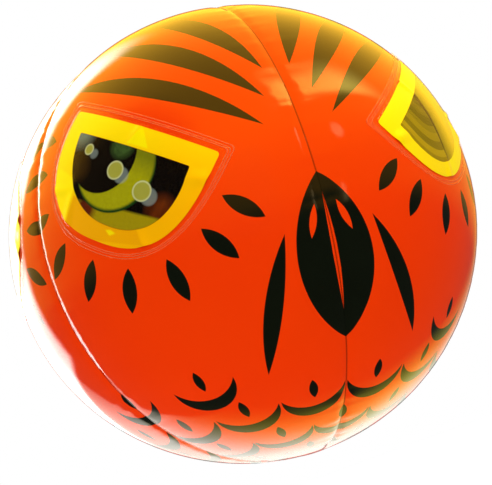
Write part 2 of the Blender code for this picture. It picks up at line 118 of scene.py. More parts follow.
# Valve, seen from its own frame: z outwards from the film
VALVE_PLACE = Vector((0.059409, 0.120469, -0.589231))
VALVE_ACROSS = Vector((-0.89687, 0.44229, 0.0))
VALVE_OUT = Vector((0.192579, 0.390512, -0.90023))
VALVE_FLAT_RADIUS = 0.017
VALVE_FLAT_FADE = 0.036
VALVE_HOLE_RADIUS = 0.0062
VALVE_GORE = 4
STEM_RADIUS = 0.005
STEM_BORE_RADIUS = 0.0032
LIP_RADIUS = 0.008
LIP_THICKNESS = 0.0012
RETAINER_RADIUS = 0.0068
RETAINER_TOP = -0.0173
RETAINER_THICKNESS = 0.0008
PLUG_HEAD_RADIUS = 0.0078
PLUG_HEAD_THICKNESS = 0.002
PLUG_PIN_RADIUS = 0.0027
PLUG_TIP_RADIUS = 0.002
PLUG_PIN_LENGTH = 0.006
STRAP_REACH = 0.014
STRAP_WIDTH = 0.005
STRAP_THICKNESS = 0.0008
FLAP_RADIUS = 0.0046
FLAP_THICKNESS = 0.0005
FLAP_HINGE_REACH = 0.006
FLAP_NECK_WIDTH = 0.003
FLANGE_RADIUS = 0.017
FLANGE_THICKNESS = 0.0008
COLLAR_RADIUS = 0.0076
COLLAR_FOOT = -0.005
COLLAR_PLAY = 0.0004
ROUND_SIDES = 96

# Hang tab and its eyelet
EYELET_HEIGHT = 0.020
TAB_WIDTH = 0.028
TAB_THICKNESS = 0.0016
EYELET_BORE_RADIUS = 0.005
EYELET_WALL = 0.0006
EYELET_FLANGE_RADIUS = 0.009
EYELET_FLANGE_THICKNESS = 0.0007
EYELET_FLARE_RADIUS = 0.0068

# Edges: their rounding, and the angles in degrees from which they are rounded or shaded sharp
METAL_EDGE = 0.00025
SOFT_EDGE = 0.0002
ROUNDED_ANGLE = 40
ROUNDED_STEPS = 3
SHARP_ANGLE = 50

# Printed plumage, on the right half of a face. Each leaf has two tips as latitude and longitude,
# and the signed bulges of its two edges, in degrees.
BROW_LEAVES = (
    ((9, 7), (35, 50), 1.6, -3.0),
    ((15, 5), (46, 46), 1.8, -3.4),
    ((22, 3), (58, 38), 1.8, -3.6),
)
BEAK = ((-2, 0), (-35, 0), 7.5, -7.5)
BEAK_RIDGE = ((-6, 0), (-29, 0), 0.55, -0.55)
NOSTRIL = ((-8, 2.2), (-14, 4.2), 0.7, -0.7)
JOWL = ((-12, 9), (-38, 20), 1.0, -2.4)
SCALLOP_ROWS = (
    (-36, (36, 60), 8.0),
    (-46, (10, 30, 50), 9.6),
    (-57, (0, 24, 48), 11.6),
    (-68, (15, 45), 14.6),
)
SCALLOP_BULGES = (6.6, 3.6)
QUILL_REACH = (3.5, -1.5)
QUILL_BULGE = 0.9
CROWN_ROWS = ((80, 66, (10, 30, 50), 2.4), (68, 56, (0, 20, 60), 1.7))
LASH_COUNT = 9
LASH_REACHES = (0.019, 0.064)
LASH_BULGE = 1.5
PRINT_EDGE = 0.0016

# Film: its roughness, what its print adds to that, and the line along each seam
FILM_ROUGHNESS = 0.05
INK_ROUGHNESS = 0.05
PLAIN_FILM_ROUGHNESS = 0.07
CLEAR_FILM_ROUGHNESS = 0.04
SEAM_LINE_HALF_WIDTH = 0.0014
SEAM_LINE_STRENGTH = 0.75

# Wear: the grain of each kind of mark, and its share in the whole
TONE_GRAIN = 4.0
SMEAR_GRAIN = 26.0
SMEAR_SHARE = 0.8
DUST_GRAIN = 900.0
DUST_LIMIT = 0.74
SPECK_SHARE = 0.6
WAVE_GRAIN = 9.0
RIPPLE_GRAIN = 40.0
RIPPLE_SHARE = 0.12
PLASTIC_GRAIN = 600.0
METAL_GRAIN = 900.0

# Foil: the corners of its painted highlight facets and of the painted shade at its foot, anticlockwise, in
# millimetres of the flat pattern
FOIL_METAL = 0.12
FOIL_PAINTED_HIGHLIGHT_FACETS = (
    ((46, -60), (90, -60), (82, -4), (47, -11)),
    ((-6, 61), (-22, 41), (3, 40)),
    ((-20, -47), (-14, -51), (-8, -47), (-14, -45)),
)
FOIL_PAINTED_SHADE_FOOT = ((-53, -49), (45, -70), (44, -26), (-36, -30))
FACET_SOFTNESS = 2.0

# Foil: how much its tone drifts, and its painted sheen, which makes it paler along the brow and upwards
FOIL_TONE_DRIFT = 0.8
FOIL_PAINTED_SHEEN_START = 0.45
FOIL_PAINTED_SHEEN_ALONG = 5.0
FOIL_PAINTED_SHEEN_UP = 6.0

# Bent fold: the slope and start of its two lines, in metres of the flat pattern, the width of the painted
# shade along it and the reach of the painted gold light beyond it
FOLD_LINES = ((0.3, -0.0126), (0.6, -0.0156))
FOLD_SOFTNESS = 0.002
FOLD_SHADE_HALF_WIDTH = 0.0024
FOLD_SHADE_WIDENING = 0.05
PAINTED_GOLD_REACH = 0.038

# Deep lens, in millimetres of the flat pattern: centre, radius and softness of its discs
PUPIL = ((25, 22), 39.5, 1.2)
OLIVE_RING = ((6, 14), 46, 1.2)
GREEN_RIM = ((7, 16), 45, 3.0)
GREEN_PATCH = ((6, 36), 12, 8)
BROWN_PATCH = ((50, 2), 14, 9)
RED_CORNER = ((-60, -12), 14, 12)
RED_FOOT = ((24, -34), 12, 9)
OUTER_HAZE = ((66, 40), 16, 16)
GREEN_SHADE = "16380E"

# Deep lens: start, end and softness of its lines, its painted lamp reflections with their ghosts, and its
# grain
FOOT_LINE = ((-60, -20), (20, -27), 3.0)
TOP_SHADE = ((-40, 20), (30, 28), 22.0)
PAINTED_LAMP_REFLECTIONS = (((46, 23), 6.0), ((3, 11), 9.5), ((-34, 0), 10.2))
REFLECTION_RIM = 1.2
REFLECTION_SOFTNESS = 1.2
REFLECTION_CORE_SOFTNESS = 1.6
REFLECTION_GHOST_SHIFT = (-9, -3)
REFLECTION_GHOST_SHARE = 0.85
REFLECTION_GHOST_SOFTNESS = 2.0
CLOUD_GRAIN = 45.0
STREAK_GRAINS = (160.0, 35.0)

# Banded lens: where each band starts, from the middle of the top edge to the outline, and its colour
BANDS = (
    (0.0, "524C04"),
    (0.22, "6E6204"),
    (0.36, "5E5402"),
    (0.5, "827204"),
    (0.6, "988206"),
    (0.72, "7C6A04"),
    (0.84, "B09408"),
    (0.94, "947C04"),
)

# Camera, as the photograph was taken
IMAGE_WIDTH = 492
IMAGE_HEIGHT = 485
FOCAL_PIXELS = 686.386
AXIS_PIXEL = (295.0, 252.0)
SENSOR_WIDTH = 36.0
NEAREST_SEEN = 0.01
CAMERA_OFFSET = Vector((-0.79940736, -2.94548139, -0.56314135))
CAMERA_RIGHT = Vector((0.92142705, -0.26523497, -0.2839412))
CAMERA_UP = Vector((0.22907586, -0.21942844, 0.94835405))

# Studio. A place is a latitude and longitude. A fade runs from its first value, none, to its second, all.
FLOOR_LEVEL = -2.3
FLOOR_REACH = 9.0
FLOOR_GRAIN = 12.0
FLOOR_ROUGHNESS = 0.9
FLOOR_GLOW = 0.75
AMBIENT_LIGHT = 0.65
ROOM_BRIGHTNESS = 0.1
BEHIND_BALL = (10.4, 164.8)
BEHIND_BALL_FADE = (0.86, 0.88)
BEHIND_BALL_LOSS = 0.85
DIM_CORNER = (28, -64)
DIM_CORNER_FADE = (0.78, 0.92)
DIM_CORNER_LOSS = 0.95
HORIZON_FADE = (-0.12, 0.1)
CEILING_FADE = (0.1, 0.7)
CEILING_GLOW = 2.6
SOFTBOX_LOW_EDGE = ((43, 30), (37.5, 60))
SOFTBOX_UPRIGHT_FADES = ((-0.01, 0.06), (0.36, 0.06))
SOFTBOX_SIDE_FADES = ((27, 34), (84, 60))
SOFTBOX_GLOW = 10.5
SMALL_LAMP_PLACE = (25.5, 36)
SMALL_LAMP_FADE = (math.cos(math.radians(3.8)), math.cos(math.radians(2.2)))
STRIP_AZIMUTH = 27.0
STRIP_SIDE_FADE = (1.6, 0.5)
STRIP_END_FADE = (0.07, 0.03)
SMALL_LIGHT_GLOW = 4.5
WALL_BEHIND = (-12.9, 137)
WALL_BEHIND_FADE = (-0.02, 0.1)
WALL_LEFT = (0, -90)
WALL_LEFT_FADE = (-0.05, 0.25)
WALL_HEIGHT_FADES = ((-0.25, -0.19), (0.9, 0.78))
WALL_GLOW = 6.0
TABLE_MIDDLE = (-30, 175)
TABLE_MIDDLE_FADE = (0.6, 0.98)
FAR_TABLE = (0, -170)
FAR_TABLE_FADE = (0.33, 0.8)
TABLE_EDGES = ((0.837, 0.547, -0.16), (-0.597, 0.803, -0.27))
TABLE_EDGE_FADE = (-0.02, 0.02)
NEAR_TABLE_FADE = (-0.6, -0.3)
NEAR_TABLE_LOSS = 0.45
TABLE_GLOW = 3.6


def link_object(name, data):
    thing = bpy.data.objects.new(name, data)
    bpy.context.scene.collection.objects.link(thing)
    return thing


def shade(thing):
    """Smooth shading that stops at sharp edges."""
    thing.data.shade_smooth()
    thing.data.set_sharp_from_angle(angle=math.radians(SHARP_ANGLE))
    return thing


def body_from_points(name, points, faces):
    """A mesh object of one closed body, smooth and with its faces pointing out."""
    mesh = bpy.data.meshes.new(name)
    mesh.from_pydata([tuple(point) for point in points], [], [tuple(face) for face in faces])
    shape = bmesh.new()
    shape.from_mesh(mesh)
    bmesh.ops.recalc_face_normals(shape, faces=shape.faces)
    shape.to_mesh(mesh)
    shape.free()
    return shade(link_object(name, mesh))


def strip_faces(rings, size, closed=False):
    """Quads between successive closed rings of points, and from the last ring to the first if closed."""
    faces = []
    for row in range(rings if closed else rings - 1):
        first, second = row * size, (row + 1) % rings * size
        for spot in range(size):
            after = (spot + 1) % size
            faces.append((first + spot, first + after, second + after, second + spot))
    return faces


def end_faces(rings, size):
    """One face over the first ring and one over the last."""
    last = (rings - 1) * size
    return [tuple(range(size)), tuple(range(last, last + size))]


def smooth_step(value, low, high):
    share = np.clip((value - low) / (high - low), 0, 1)
    return share * share * (3 - 2 * share)


def on_skin(latitude, longitude, height):
    """Points at a height over the ball's skin, in the ball's own frame."""
    up, around = np.radians(latitude), np.radians(longitude)
    reach = (EQUATOR_RADIUS + height) * np.cos(up)
    rise = (POLE_RADIUS + height) * np.sin(up)
    return np.stack([reach * np.sin(around), -reach * np.cos(around), rise + 0 * around], axis=-1)


def skin_relief(latitude, longitude):
    """Height of the film over a plain ball: drawn in towards each seam, with a valley and puckers."""
    seam = np.round(longitude / GORE_ANGLE)
    turn = np.abs(longitude - seam * GORE_ANGLE)
    narrowing = np.cos(np.radians(latitude))
    from_seam = EQUATOR_RADIUS * narrowing * np.radians(turn)
    along = POLE_RADIUS * np.radians(latitude)
    waves = 0
    for number, length in enumerate(PUCKER_LENGTHS):
        drift = PUCKER_DRIFT * np.sin(along / (PUCKER_DRIFT_LENGTHS * length) + seam * (number + 2))
        shift = seam * (PUCKER_SEAM_SHIFT + number)
        waves = waves + np.sin(2 * math.pi * along / length + drift + shift)
    drawn = -SEAM_DRAW * (1 - 2 * turn / GORE_ANGLE) ** SEAM_DRAW_POWER * narrowing
    valley = -SEAM_VALLEY_DEPTH * np.exp(-((from_seam / SEAM_VALLEY_WIDTH) ** 2))
    rise = np.exp(-from_seam / PUCKER_REACH) * np.clip(from_seam / SEAM_VALLEY_WIDTH, 0, 1)
    fade = 1 - smooth_step(np.abs(latitude), RELIEF_FADE_START, RELIEF_FADE_END)
    return (drawn + valley + PUCKER_HEIGHT * waves * rise) * fade


def flatten_at_valve(points, level):
    """Draws the film flat round the valve, at a level along the valve's own axis."""
    place, out = np.array(VALVE_PLACE - BALL_CENTRE), np.array(VALVE_OUT.normalized())
    offset = points - place
    rise = offset @ out
    radius = np.linalg.norm(offset - rise[..., None] * out, axis=-1)
    pull = (1 - smooth_step(radius, VALVE_FLAT_RADIUS, VALVE_FLAT_FADE)) * (np.abs(rise) < EQUATOR_RADIUS / 2)
    return points - (pull * (rise - level))[..., None] * out


def gore_panel(number):
    """A gore: curved film, with a weld fin turned inwards along both seams."""
    latitude = np.linspace(-POLE_LATITUDE, POLE_LATITUDE, GORE_ROWS)
    share = (1 - np.cos(np.linspace(0, math.pi, GORE_COLUMNS))) / 2
    rows = latitude[:, None] + 0 * share
    start = GORE_ANGLE * (number - 2)
    ring_radius = EQUATOR_RADIUS * np.cos(np.radians(latitude))
    gap, wall = np.degrees(CLEARANCE / 2 / ring_radius), np.degrees(FILM_THICKNESS / ring_radius)
    insets = gap[:, None], (gap + wall)[:, None]
    turns = [start + inset + (GORE_ANGLE - 2 * inset) * share for inset in insets]
    relief = skin_relief(rows, turns[0])
    sheets = []
    for turn, level in zip(turns, (0.0, -FILM_THICKNESS)):
        film = flatten_at_valve(on_skin(rows, turn, relief + level), level)
        fins = [on_skin(latitude, turn[:, end], -WELD_FIN_DEPTH)[:, None] for end in (0, -1)]
        sheets.append(np.concatenate([fins[0], film, fins[1]], axis=1))
    rings = np.concatenate([sheets[0], sheets[1][:, ::-1]], axis=1)
    size = rings.shape[1]
    faces = strip_faces(GORE_ROWS, size)
    last = (GORE_ROWS - 1) * size
    for spot in range(size // 2 - 1):
        corners = (spot, spot + 1, size - 2 - spot, size - 1 - spot)
        faces.append(corners)
        faces.append(tuple(last + corner for corner in corners))
    return body_from_points(f"gore_film_{number}", rings.reshape(-1, 3) + np.array(BALL_CENTRE), faces)


def pole_disc(name, side):
    """Weld disc over the gore tips: flat over the pole hole, then following the film."""
    flat_top = (POLE_RADIUS + CLEARANCE) * math.sin(math.radians(POLE_LATITUDE))
    edge = math.degrees(math.acos(POLE_DISC_RADIUS / EQUATOR_RADIUS))
    profile = [(POLE_HOLE_RADIUS * share, flat_top) for share in DISC_FLAT_SHARES]
    for share in DISC_SLOPE_SHARES:
        point = on_skin(POLE_LATITUDE + (edge - POLE_LATITUDE) * share, 0.0, CLEARANCE)
        profile.append((-point[1], point[2]))
    raised = np.array(profile) + (0, FILM_THICKNESS)
    from_weld = (raised[:, 0] - DISC_WELD_SHARE * POLE_DISC_RADIUS) / DISC_WELD_WIDTH
    raised[:, 1] += DISC_WELD_HEIGHT * np.exp(-(from_weld ** 2))
    outline = np.concatenate([profile, raised[::-1]]) * (1, side)
    return turned_body(name, outline, Matrix.Translation(BALL_CENTRE), solid=True)


def eye_axes():
    """Origin and axes of an eye on the right half of a face: along the brow, up, outwards."""
    step = 0.1
    spot = on_skin(EYE_LATITUDE, EYE_LONGITUDE, 0.0)
    east = on_skin(EYE_LATITUDE, EYE_LONGITUDE + step, 0.0) - spot
    north = on_skin(EYE_LATITUDE + step, EYE_LONGITUDE, 0.0) - spot
    east, north = east / np.linalg.norm(east), north / np.linalg.norm(north)
    tilt = math.radians(EYE_TILT)
    along = east * math.cos(tilt) + north * math.sin(tilt)
    out = np.cross(east, north)
    out = out / np.linalg.norm(out)
    return spot, along, np.cross(out, along), out


def laid_on_ball(flat, height):
    """Points of an eye's flat pattern laid round the ball at a height over its film."""
    spot, along, above, out = eye_axes()
    reach = np.maximum(np.linalg.norm(flat, axis=-1), CLEARANCE) / EQUATOR_RADIUS
    seen = flat * (np.sin(reach) / reach)[..., None]
    base = spot + seen[..., :1] * along + seen[..., 1:] * above
    relief = 0.0
    for _ in range(RELIEF_PASSES):
        lift = height + relief
        scale = np.stack([EQUATOR_RADIUS + lift, EQUATOR_RADIUS + lift, POLE_RADIUS + lift], axis=-1)
        start, heading = base / scale, out / scale
        square = np.sum(heading * heading, axis=-1)
        slope = np.sum(start * heading, axis=-1)
        inside = np.sum(start * start, axis=-1) - 1
        ahead = (np.sqrt(slope * slope - square * inside) - slope) / square
        points = base + ahead[..., None] * out
        latitude = np.degrees(np.arcsin(np.clip(points[..., 2] / scale[..., 2], -1, 1)))
        relief = skin_relief(latitude, np.degrees(np.arctan2(points[..., 0], -points[..., 1])))
    return points


def evenly_spaced(line, count):
    """The same line with its points at equal steps along it."""
    steps = np.linalg.norm(np.diff(line, axis=0), axis=1)
    length = np.concatenate([[0], np.cumsum(steps)])
    places = np.linspace(0, length[-1], count)
    return np.stack([np.interp(places, length, line[:, axis]) for axis in (0, 1)], axis=-1)


def eye_outline(width, depth, top, roundness, corner_share, slant_share=0.0):
    """A flat-topped outline with a bulging lower side: round the arc, then back along the brow."""
    angle = np.linspace(0, math.pi, FINE_STEPS)
    cosine = np.cos(angle)
    across = np.sign(cosine) * np.abs(cosine) ** (2 / roundness)
    down = np.clip(np.sin(angle), 0, 1) ** (2 / roundness)
    down[[0, -1]] = 0
    arc = np.stack([width / 2 * across - slant_share * depth * down, top - depth * down], axis=-1)
    arc = evenly_spaced(arc, ARC_STEPS + 1)
    share = np.linspace(0, 1, BROW_STEPS + 1)[1:-1, None]
    brow = arc[-1] + (arc[0] - arc[-1]) * share
    line = np.concatenate([arc, brow])
    for corner in (0, ARC_STEPS):
        beside = (line[corner - 1] + line[corner + 1]) / 2
        line[corner] += corner_share * (beside - line[corner])
    return line


def patch_line(spread=0.0):
    """Outline of the foil patch, or of the cover's rim at a spread beyond it."""
    roundness = PATCH_ROUNDNESS + (COVER_ROUNDNESS - PATCH_ROUNDNESS) * spread / COVER_RIM
    width, depth = EYE_PATCH_WIDTH + 2 * spread, EYE_PATCH_DEPTH + 2 * spread
    return eye_outline(width, depth, EYE_PATCH_DEPTH / 2 + spread, roundness, PATCH_CORNER_SHARE)


def window_line(spread=0.0):
    """Outline of the window in the foil, or a line at a spread beyond it."""
    width, depth, top = WINDOW_WIDTH + 2 * spread, WINDOW_DEPTH + 2 * spread, WINDOW_TOP + spread
    shares = WINDOW_CORNER_SHARE, WINDOW_SLANT_SHARE
    return eye_outline(width, depth, top, WINDOW_ROUNDNESS, *shares)


def crease_height(flat):
    """Sharp low folds across the foil, where the round film pulls the flat foil in."""
    height = np.zeros(flat.shape[:-1])
    for start, end, width in FOIL_CREASES:
        start, end, width = np.array(start) * MILLIMETRE, np.array(end) * MILLIMETRE, width * MILLIMETRE
        line = end - start
        share = np.clip(((flat - start) @ line) / (line @ line), 0, 1)
        away = np.linalg.norm(flat - start - share[..., None] * line, axis=-1)
        rise = np.clip(1 - away / width, 0, 1) * (1 - CREASE_FADE_SHARE * share)
        height = np.maximum(height, FOIL_CREASE_HEIGHT * rise)
    return height


def eye_object(name, number, points, faces):
    """An eye piece given for the right half of a face, mirrored and turned to its own place."""
    points = points.reshape(-1, 3).copy()
    if number % 2:
        points[:, 0] *= -1
    turn = Matrix.Rotation(math.radians(2 * GORE_ANGLE * ((number - 1) // 2)), 3, "Z")
    return body_from_points(f"{name}_{number}", points @ np.array(turn).T + np.array(BALL_CENTRE), faces)


def store_pattern(thing, flat, name="Pattern"):
    """Keeps two values of each vertex, such as its place in the eye's flat pattern, as UV coordinates."""
    layer = thing.data.uv_layers.new(name=name)
    spots = np.zeros(len(thing.data.loops), dtype=np.int32)
    thing.data.loops.foreach_get("vertex_index", spots)
    layer.data.foreach_set("uv", flat.reshape(-1, 2)[spots].astype(np.float32).ravel())


def eye_patch(number):
    """The yellow foil round the window, with its creases."""
    share = np.linspace(0, 1, RING_STEPS)[:, None, None]
    flat = window_line(CLEARANCE) * (1 - share) + patch_line() * share
    crease = crease_height(flat)
    top = laid_on_ball(flat, CLEARANCE + FOIL_THICKNESS + crease)
    bottom = laid_on_ball(flat, CLEARANCE + crease)
    rings = np.concatenate([top, bottom[::-1]])
    faces = strip_faces(len(rings), rings.shape[1], closed=True)
    thing = eye_object("eye_foil", number, rings, faces)
    store_pattern(thing, np.concatenate([flat, flat[::-1]]))
    return thing


def filled_rings(line):
    """Rings of pattern points from near the middle of a closed line out to the line itself."""
    middle = line.mean(axis=0)
    share = np.linspace(1 / RING_STEPS, 1, RING_STEPS)[:, None, None]
    return middle + (line - middle) * share


def closed_sheet(name, number, flat, low, high):
    """A closed sheet over an eye, from rings of flat pattern points with the innermost ring first."""
    size, depth = flat.shape[1], len(flat)
    centre = flat[0].mean(axis=0)[None]
    points = []
    for level in (high, low):
        points += [laid_on_ball(centre, level[0, :1]), laid_on_ball(flat, level).reshape(-1, 3)]
    rings = strip_faces(depth, size)
    sheet = 1 + depth * size
    edge = sheet - size
    faces = []
    for start in (1, 1 + sheet):
        faces += [(start - 1, start + spot, start + (spot + 1) % size) for spot in range(size)]
        faces += [tuple(start + corner for corner in face) for face in rings]
    for spot in range(size):
        after = (spot + 1) % size
        faces.append((edge + spot, edge + after, sheet + edge + after, sheet + edge + spot))
    thing = eye_object(name, number, np.concatenate(points), faces)
    pattern = np.concatenate([centre, flat.reshape(-1, 2)])
    store_pattern(thing, np.concatenate([pattern, pattern]))
    return thing


def eye_lens(number):
    """The foil that shows in the window, with the creases that cross it."""
    flat = filled_rings(window_line())
    low = CLEARANCE + crease_height(flat)
    return closed_sheet("eye_lens_foil", number, flat, low, low + FOIL_THICKNESS)


def eye_cover(number):
    """The clear film over the foil, with weld beads round its rim."""
    spreads = np.linspace(0, COVER_RIM, RIM_STEPS)[1:]
    flat = np.concatenate([filled_rings(patch_line()), [patch_line(spread) for spread in spreads]])
    spread = np.concatenate([np.zeros(RING_STEPS), spreads])[:, None] + np.zeros(flat.shape[:2])
    pocket = 1 - smooth_step(spread, 0.0, POCKET_REACH)
    low = CLEARANCE + pocket * (FOIL_THICKNESS + CLEARANCE) + crease_height(flat) * pocket
    beads = 0
    for place in WELD_BEAD_PLACES:
        beads = beads + WELD_BEAD_HEIGHT * np.exp(-(((spread - place) / WELD_BEAD_WIDTH) ** 2))
    thing = closed_sheet("eye_cover_film", number, flat, low, low + COVER_THICKNESS + beads)
    past_foil = np.concatenate([[0], spread.ravel()] * 2)
    store_pattern(thing, np.stack([past_foil, 0 * past_foil], axis=-1), "Rim")
    return thing


def apply_step(thing, kind, **settings):
    """Adds a modifier to a piece and keeps its result as the piece's mesh."""
    step = thing.modifiers.new(kind.lower(), kind)
    for name, value in settings.items():
        setattr(step, name, value)
    shape = thing.evaluated_get(bpy.context.evaluated_depsgraph_get())
    thing.data = bpy.data.meshes.new_from_object(shape)
    thing.modifiers.clear()
    return thing


def carve(thing, other, operation):
    """Joins another body to a piece, cuts it away, or keeps what they share."""
    apply_step(thing, "BOOLEAN", operation=operation, solver="EXACT", object=other)
    bpy.data.objects.remove(other)
    return thing


def soften_edges(thing, width):
    """Rounds a piece's edges and shades its faces as flat as they are."""
    angle = math.radians(ROUNDED_ANGLE)
    apply_step(thing, "BEVEL", width=width, segments=ROUNDED_STEPS, limit_method="ANGLE", angle_limit=angle)
    return apply_step(shade(thing), "WEIGHTED_NORMAL", keep_sharp=True)


def placed_body(name, points, faces, place):
    """A closed body given in a frame of its own."""
    points = np.asarray(points, dtype=float).reshape(-1, 3)
    turn, shift = np.array(place.to_3x3()), np.array(place.translation)
    return body_from_points(name, points @ turn.T + shift, faces)


def turned_body(name, outline, place, solid=False):
    """An outline of radii and heights turned about the frame's z: a ring, or solid to its axis."""
    turns = np.linspace(0, 2 * math.pi, ROUND_SIDES, endpoint=False)
    rings = []
    for radius, height in outline:
        rings.append(np.stack([radius * np.cos(turns), radius * np.sin(turns), height + 0 * turns], axis=-1))
    faces = strip_faces(len(rings), ROUND_SIDES, closed=not solid)
    if solid:
        faces += end_faces(len(rings), ROUND_SIDES)
    return placed_body(name, rings, faces, place)


def extruded_body(name, outline, low, high, place):
    """A closed outline in the frame's x and y drawn out along its z."""
    points = [(x, y, level) for level in (low, high) for x, y in outline]
    faces = strip_faces(2, len(outline)) + end_faces(2, len(outline))
    return placed_body(name, points, faces, place)


def strap(name, near, far, low, place):
    """A flat strap along the frame's x, from its low face up."""
    half = STRAP_WIDTH / 2
    outline = ((-far, -half), (-near, -half), (-near, half), (-far, half))
    return extruded_body(name, outline, low, low + STRAP_THICKNESS, place)


def valve_frame():
    """Placing matrix of the valve: x along the strap, z outwards through the film."""
    out, across = VALVE_OUT.normalized(), VALVE_ACROSS.normalized()
    place = Matrix((across, out.cross(across), out)).transposed().to_4x4()
    place.translation = VALVE_PLACE
    return place


def cut_valve_hole(panel):
    """Opens the film of the valve's gore round the valve stem."""
    outline = [(VALVE_HOLE_RADIUS, -WELD_FIN_DEPTH), (VALVE_HOLE_RADIUS, WELD_FIN_DEPTH)]
    return carve(panel, turned_body("valve_hole", outline, valve_frame(), solid=True), "DIFFERENCE")


def fine_valve_flange():
    top = -FILM_THICKNESS - CLEARANCE
    bottom, bore = top - FLANGE_THICKNESS, STEM_RADIUS + COLLAR_PLAY
    outline = [
        (bore, COLLAR_FOOT), (COLLAR_RADIUS, COLLAR_FOOT), (COLLAR_RADIUS, bottom),
        (FLANGE_RADIUS, bottom), (FLANGE_RADIUS, top), (bore, top),
    ]
    return soften_edges(turned_body("valve_flange_moulded", outline, valve_frame()), SOFT_EDGE)


def fine_valve_stem():
    mouth, foot = CLEARANCE + LIP_THICKNESS, RETAINER_TOP - RETAINER_THICKNESS
    outline = [
        (STEM_BORE_RADIUS, foot), (RETAINER_RADIUS, foot), (RETAINER_RADIUS, RETAINER_TOP),
        (STEM_RADIUS, RETAINER_TOP), (STEM_RADIUS, CLEARANCE), (LIP_RADIUS, CLEARANCE),
        (LIP_RADIUS, mouth), (STEM_BORE_RADIUS, mouth),
    ]
    stem = turned_body("valve_stem_moulded", outline, valve_frame())
    tongue = strap("tongue", (STEM_RADIUS + LIP_RADIUS) / 2, STRAP_REACH, CLEARANCE, valve_frame())
    return soften_edges(carve(stem, tongue, "UNION"), SOFT_EDGE)


def fine_valve_plug():
    bottom = 2 * CLEARANCE + LIP_THICKNESS
    outline = [
        (PLUG_TIP_RADIUS, bottom - PLUG_PIN_LENGTH), (PLUG_PIN_RADIUS, bottom),
        (PLUG_HEAD_RADIUS, bottom), (PLUG_HEAD_RADIUS, bottom + PLUG_HEAD_THICKNESS),
    ]
    plug = turned_body("valve_plug_moulded", outline, valve_frame(), solid=True)
    near = (PLUG_PIN_RADIUS + PLUG_HEAD_RADIUS) / 2
    arm = strap("arm", near, STRAP_REACH, bottom + CLEARANCE, valve_frame())
    return soften_edges(carve(plug, arm, "UNION"), SOFT_EDGE)


def fine_check_flap():
    half = FLAP_NECK_WIDTH / 2
    start = math.asin(half / FLAP_RADIUS)
    turns = np.linspace(start, 2 * math.pi - start, ROUND_SIDES)
    outline = [(FLAP_HINGE_REACH, -half), (FLAP_HINGE_REACH, half)]
    outline += [(FLAP_RADIUS * math.cos(turn), FLAP_RADIUS * math.sin(turn)) for turn in turns]
    top = RETAINER_TOP - RETAINER_THICKNESS - CLEARANCE
    return extruded_body("check_flap_moulded", outline, top - FLAP_THICKNESS, top, valve_frame())


def tab_frame(z_axis):
    """Placing matrix at the tab's fold, with the frame's z along X or Y of the world."""
    if z_axis == "X":
        place = Matrix(((0, 0, 1), (1, 0, 0), (0, 1, 0))).to_4x4()
    else:
        place = Matrix(((1, 0, 0), (0, 0, -1), (0, 1, 0))).to_4x4()
    place.translation = Vector((0, 0, -EYELET_HEIGHT))
    return place


def fine_hang_tab():
    """The welded double strip: round top, round lower edge and the eyelet's hole."""
    half, reach = TAB_THICKNESS / 2, TAB_WIDTH / 2
    profile = [(half, EYELET_HEIGHT + reach), (-half, EYELET_HEIGHT + reach)]
    for turn in np.linspace(math.pi, 2 * math.pi, RING_STEPS):
        profile.append((half * math.cos(turn), half * math.sin(turn)))
    tab = extruded_body("hang_tab_welded", profile, -reach, reach, tab_frame("X"))
    wide = reach + WELD_FIN_DEPTH
    crown = [(-wide, -WELD_FIN_DEPTH), (wide, -WELD_FIN_DEPTH), (wide, EYELET_HEIGHT)]
    for turn in np.linspace(0, math.pi, ROUND_SIDES // 2):
        crown.append((reach * math.cos(turn), EYELET_HEIGHT + reach * math.sin(turn)))
    crown.append((-wide, EYELET_HEIGHT))
    carve(tab, extruded_body("crown", crown, -WELD_FIN_DEPTH, WELD_FIN_DEPTH, tab_frame("Y")), "INTERSECT")
    radius = EYELET_BORE_RADIUS + EYELET_WALL + CLEARANCE
    hole = [(radius, -WELD_FIN_DEPTH), (radius, WELD_FIN_DEPTH)]
    carve(tab, turned_body("hole", hole, eyelet_frame(), solid=True), "DIFFERENCE")
    return soften_edges(tab, SOFT_EDGE)


def eyelet_frame():
    """Placing matrix of the eyelet: its centre is the origin and its z runs to the back."""
    return Matrix(((1, 0, 0), (0, 0, 1), (0, -1, 0))).to_4x4()


def fine_eyelet_barrel():
    face = TAB_THICKNESS / 2 + CLEARANCE
    outer, wall = face + EYELET_FLANGE_THICKNESS, EYELET_BORE_RADIUS + EYELET_WALL
    flare = outer + CLEARANCE
    outline = [
        (EYELET_BORE_RADIUS, -outer), (EYELET_FLANGE_RADIUS, -outer), (EYELET_FLANGE_RADIUS, -face),
        (wall, -face), (wall, flare), (EYELET_FLARE_RADIUS, flare),
        (EYELET_FLARE_RADIUS, flare + EYELET_WALL), (EYELET_BORE_RADIUS, flare + EYELET_WALL),
    ]
    return soften_edges(turned_body("eyelet_barrel_rolled", outline, eyelet_frame()), METAL_EDGE)


def fine_eyelet_washer():
    face = TAB_THICKNESS / 2 + CLEARANCE
    outer, bore = face + EYELET_FLANGE_THICKNESS, EYELET_BORE_RADIUS + EYELET_WALL + CLEARANCE
    outline = [(bore, face), (EYELET_FLANGE_RADIUS, face), (EYELET_FLANGE_RADIUS, outer), (bore, outer)]
    return soften_edges(turned_body("eyelet_washer_pressed", outline, eyelet_frame()), METAL_EDGE)


def fill(tree, node, values):
    """Gives a node's inputs other sockets, numbers, or colours as six hexadecimal digits."""
    for key, value in dict(values).items():
        if isinstance(value, bpy.types.NodeSocket):
            tree.links.new(value, node.inputs[key])
        else:
            node.inputs[key].default_value = colour(value) if isinstance(value, str) else value
    return node


def add(tree, kind, values=(), **settings):
    """A shader node with its settings and its inputs."""
    node = tree.nodes.new(kind)
    for name, value in settings.items():
        setattr(node, name, value)
    return fill(tree, node, values)


def calc(tree, operation, first, second=0.0, third=0.0, clamp=False):
    values = {0: first, 1: second, 2: third}
    return add(tree, "ShaderNodeMath", values, operation=operation, use_clamp=clamp).outputs[0]


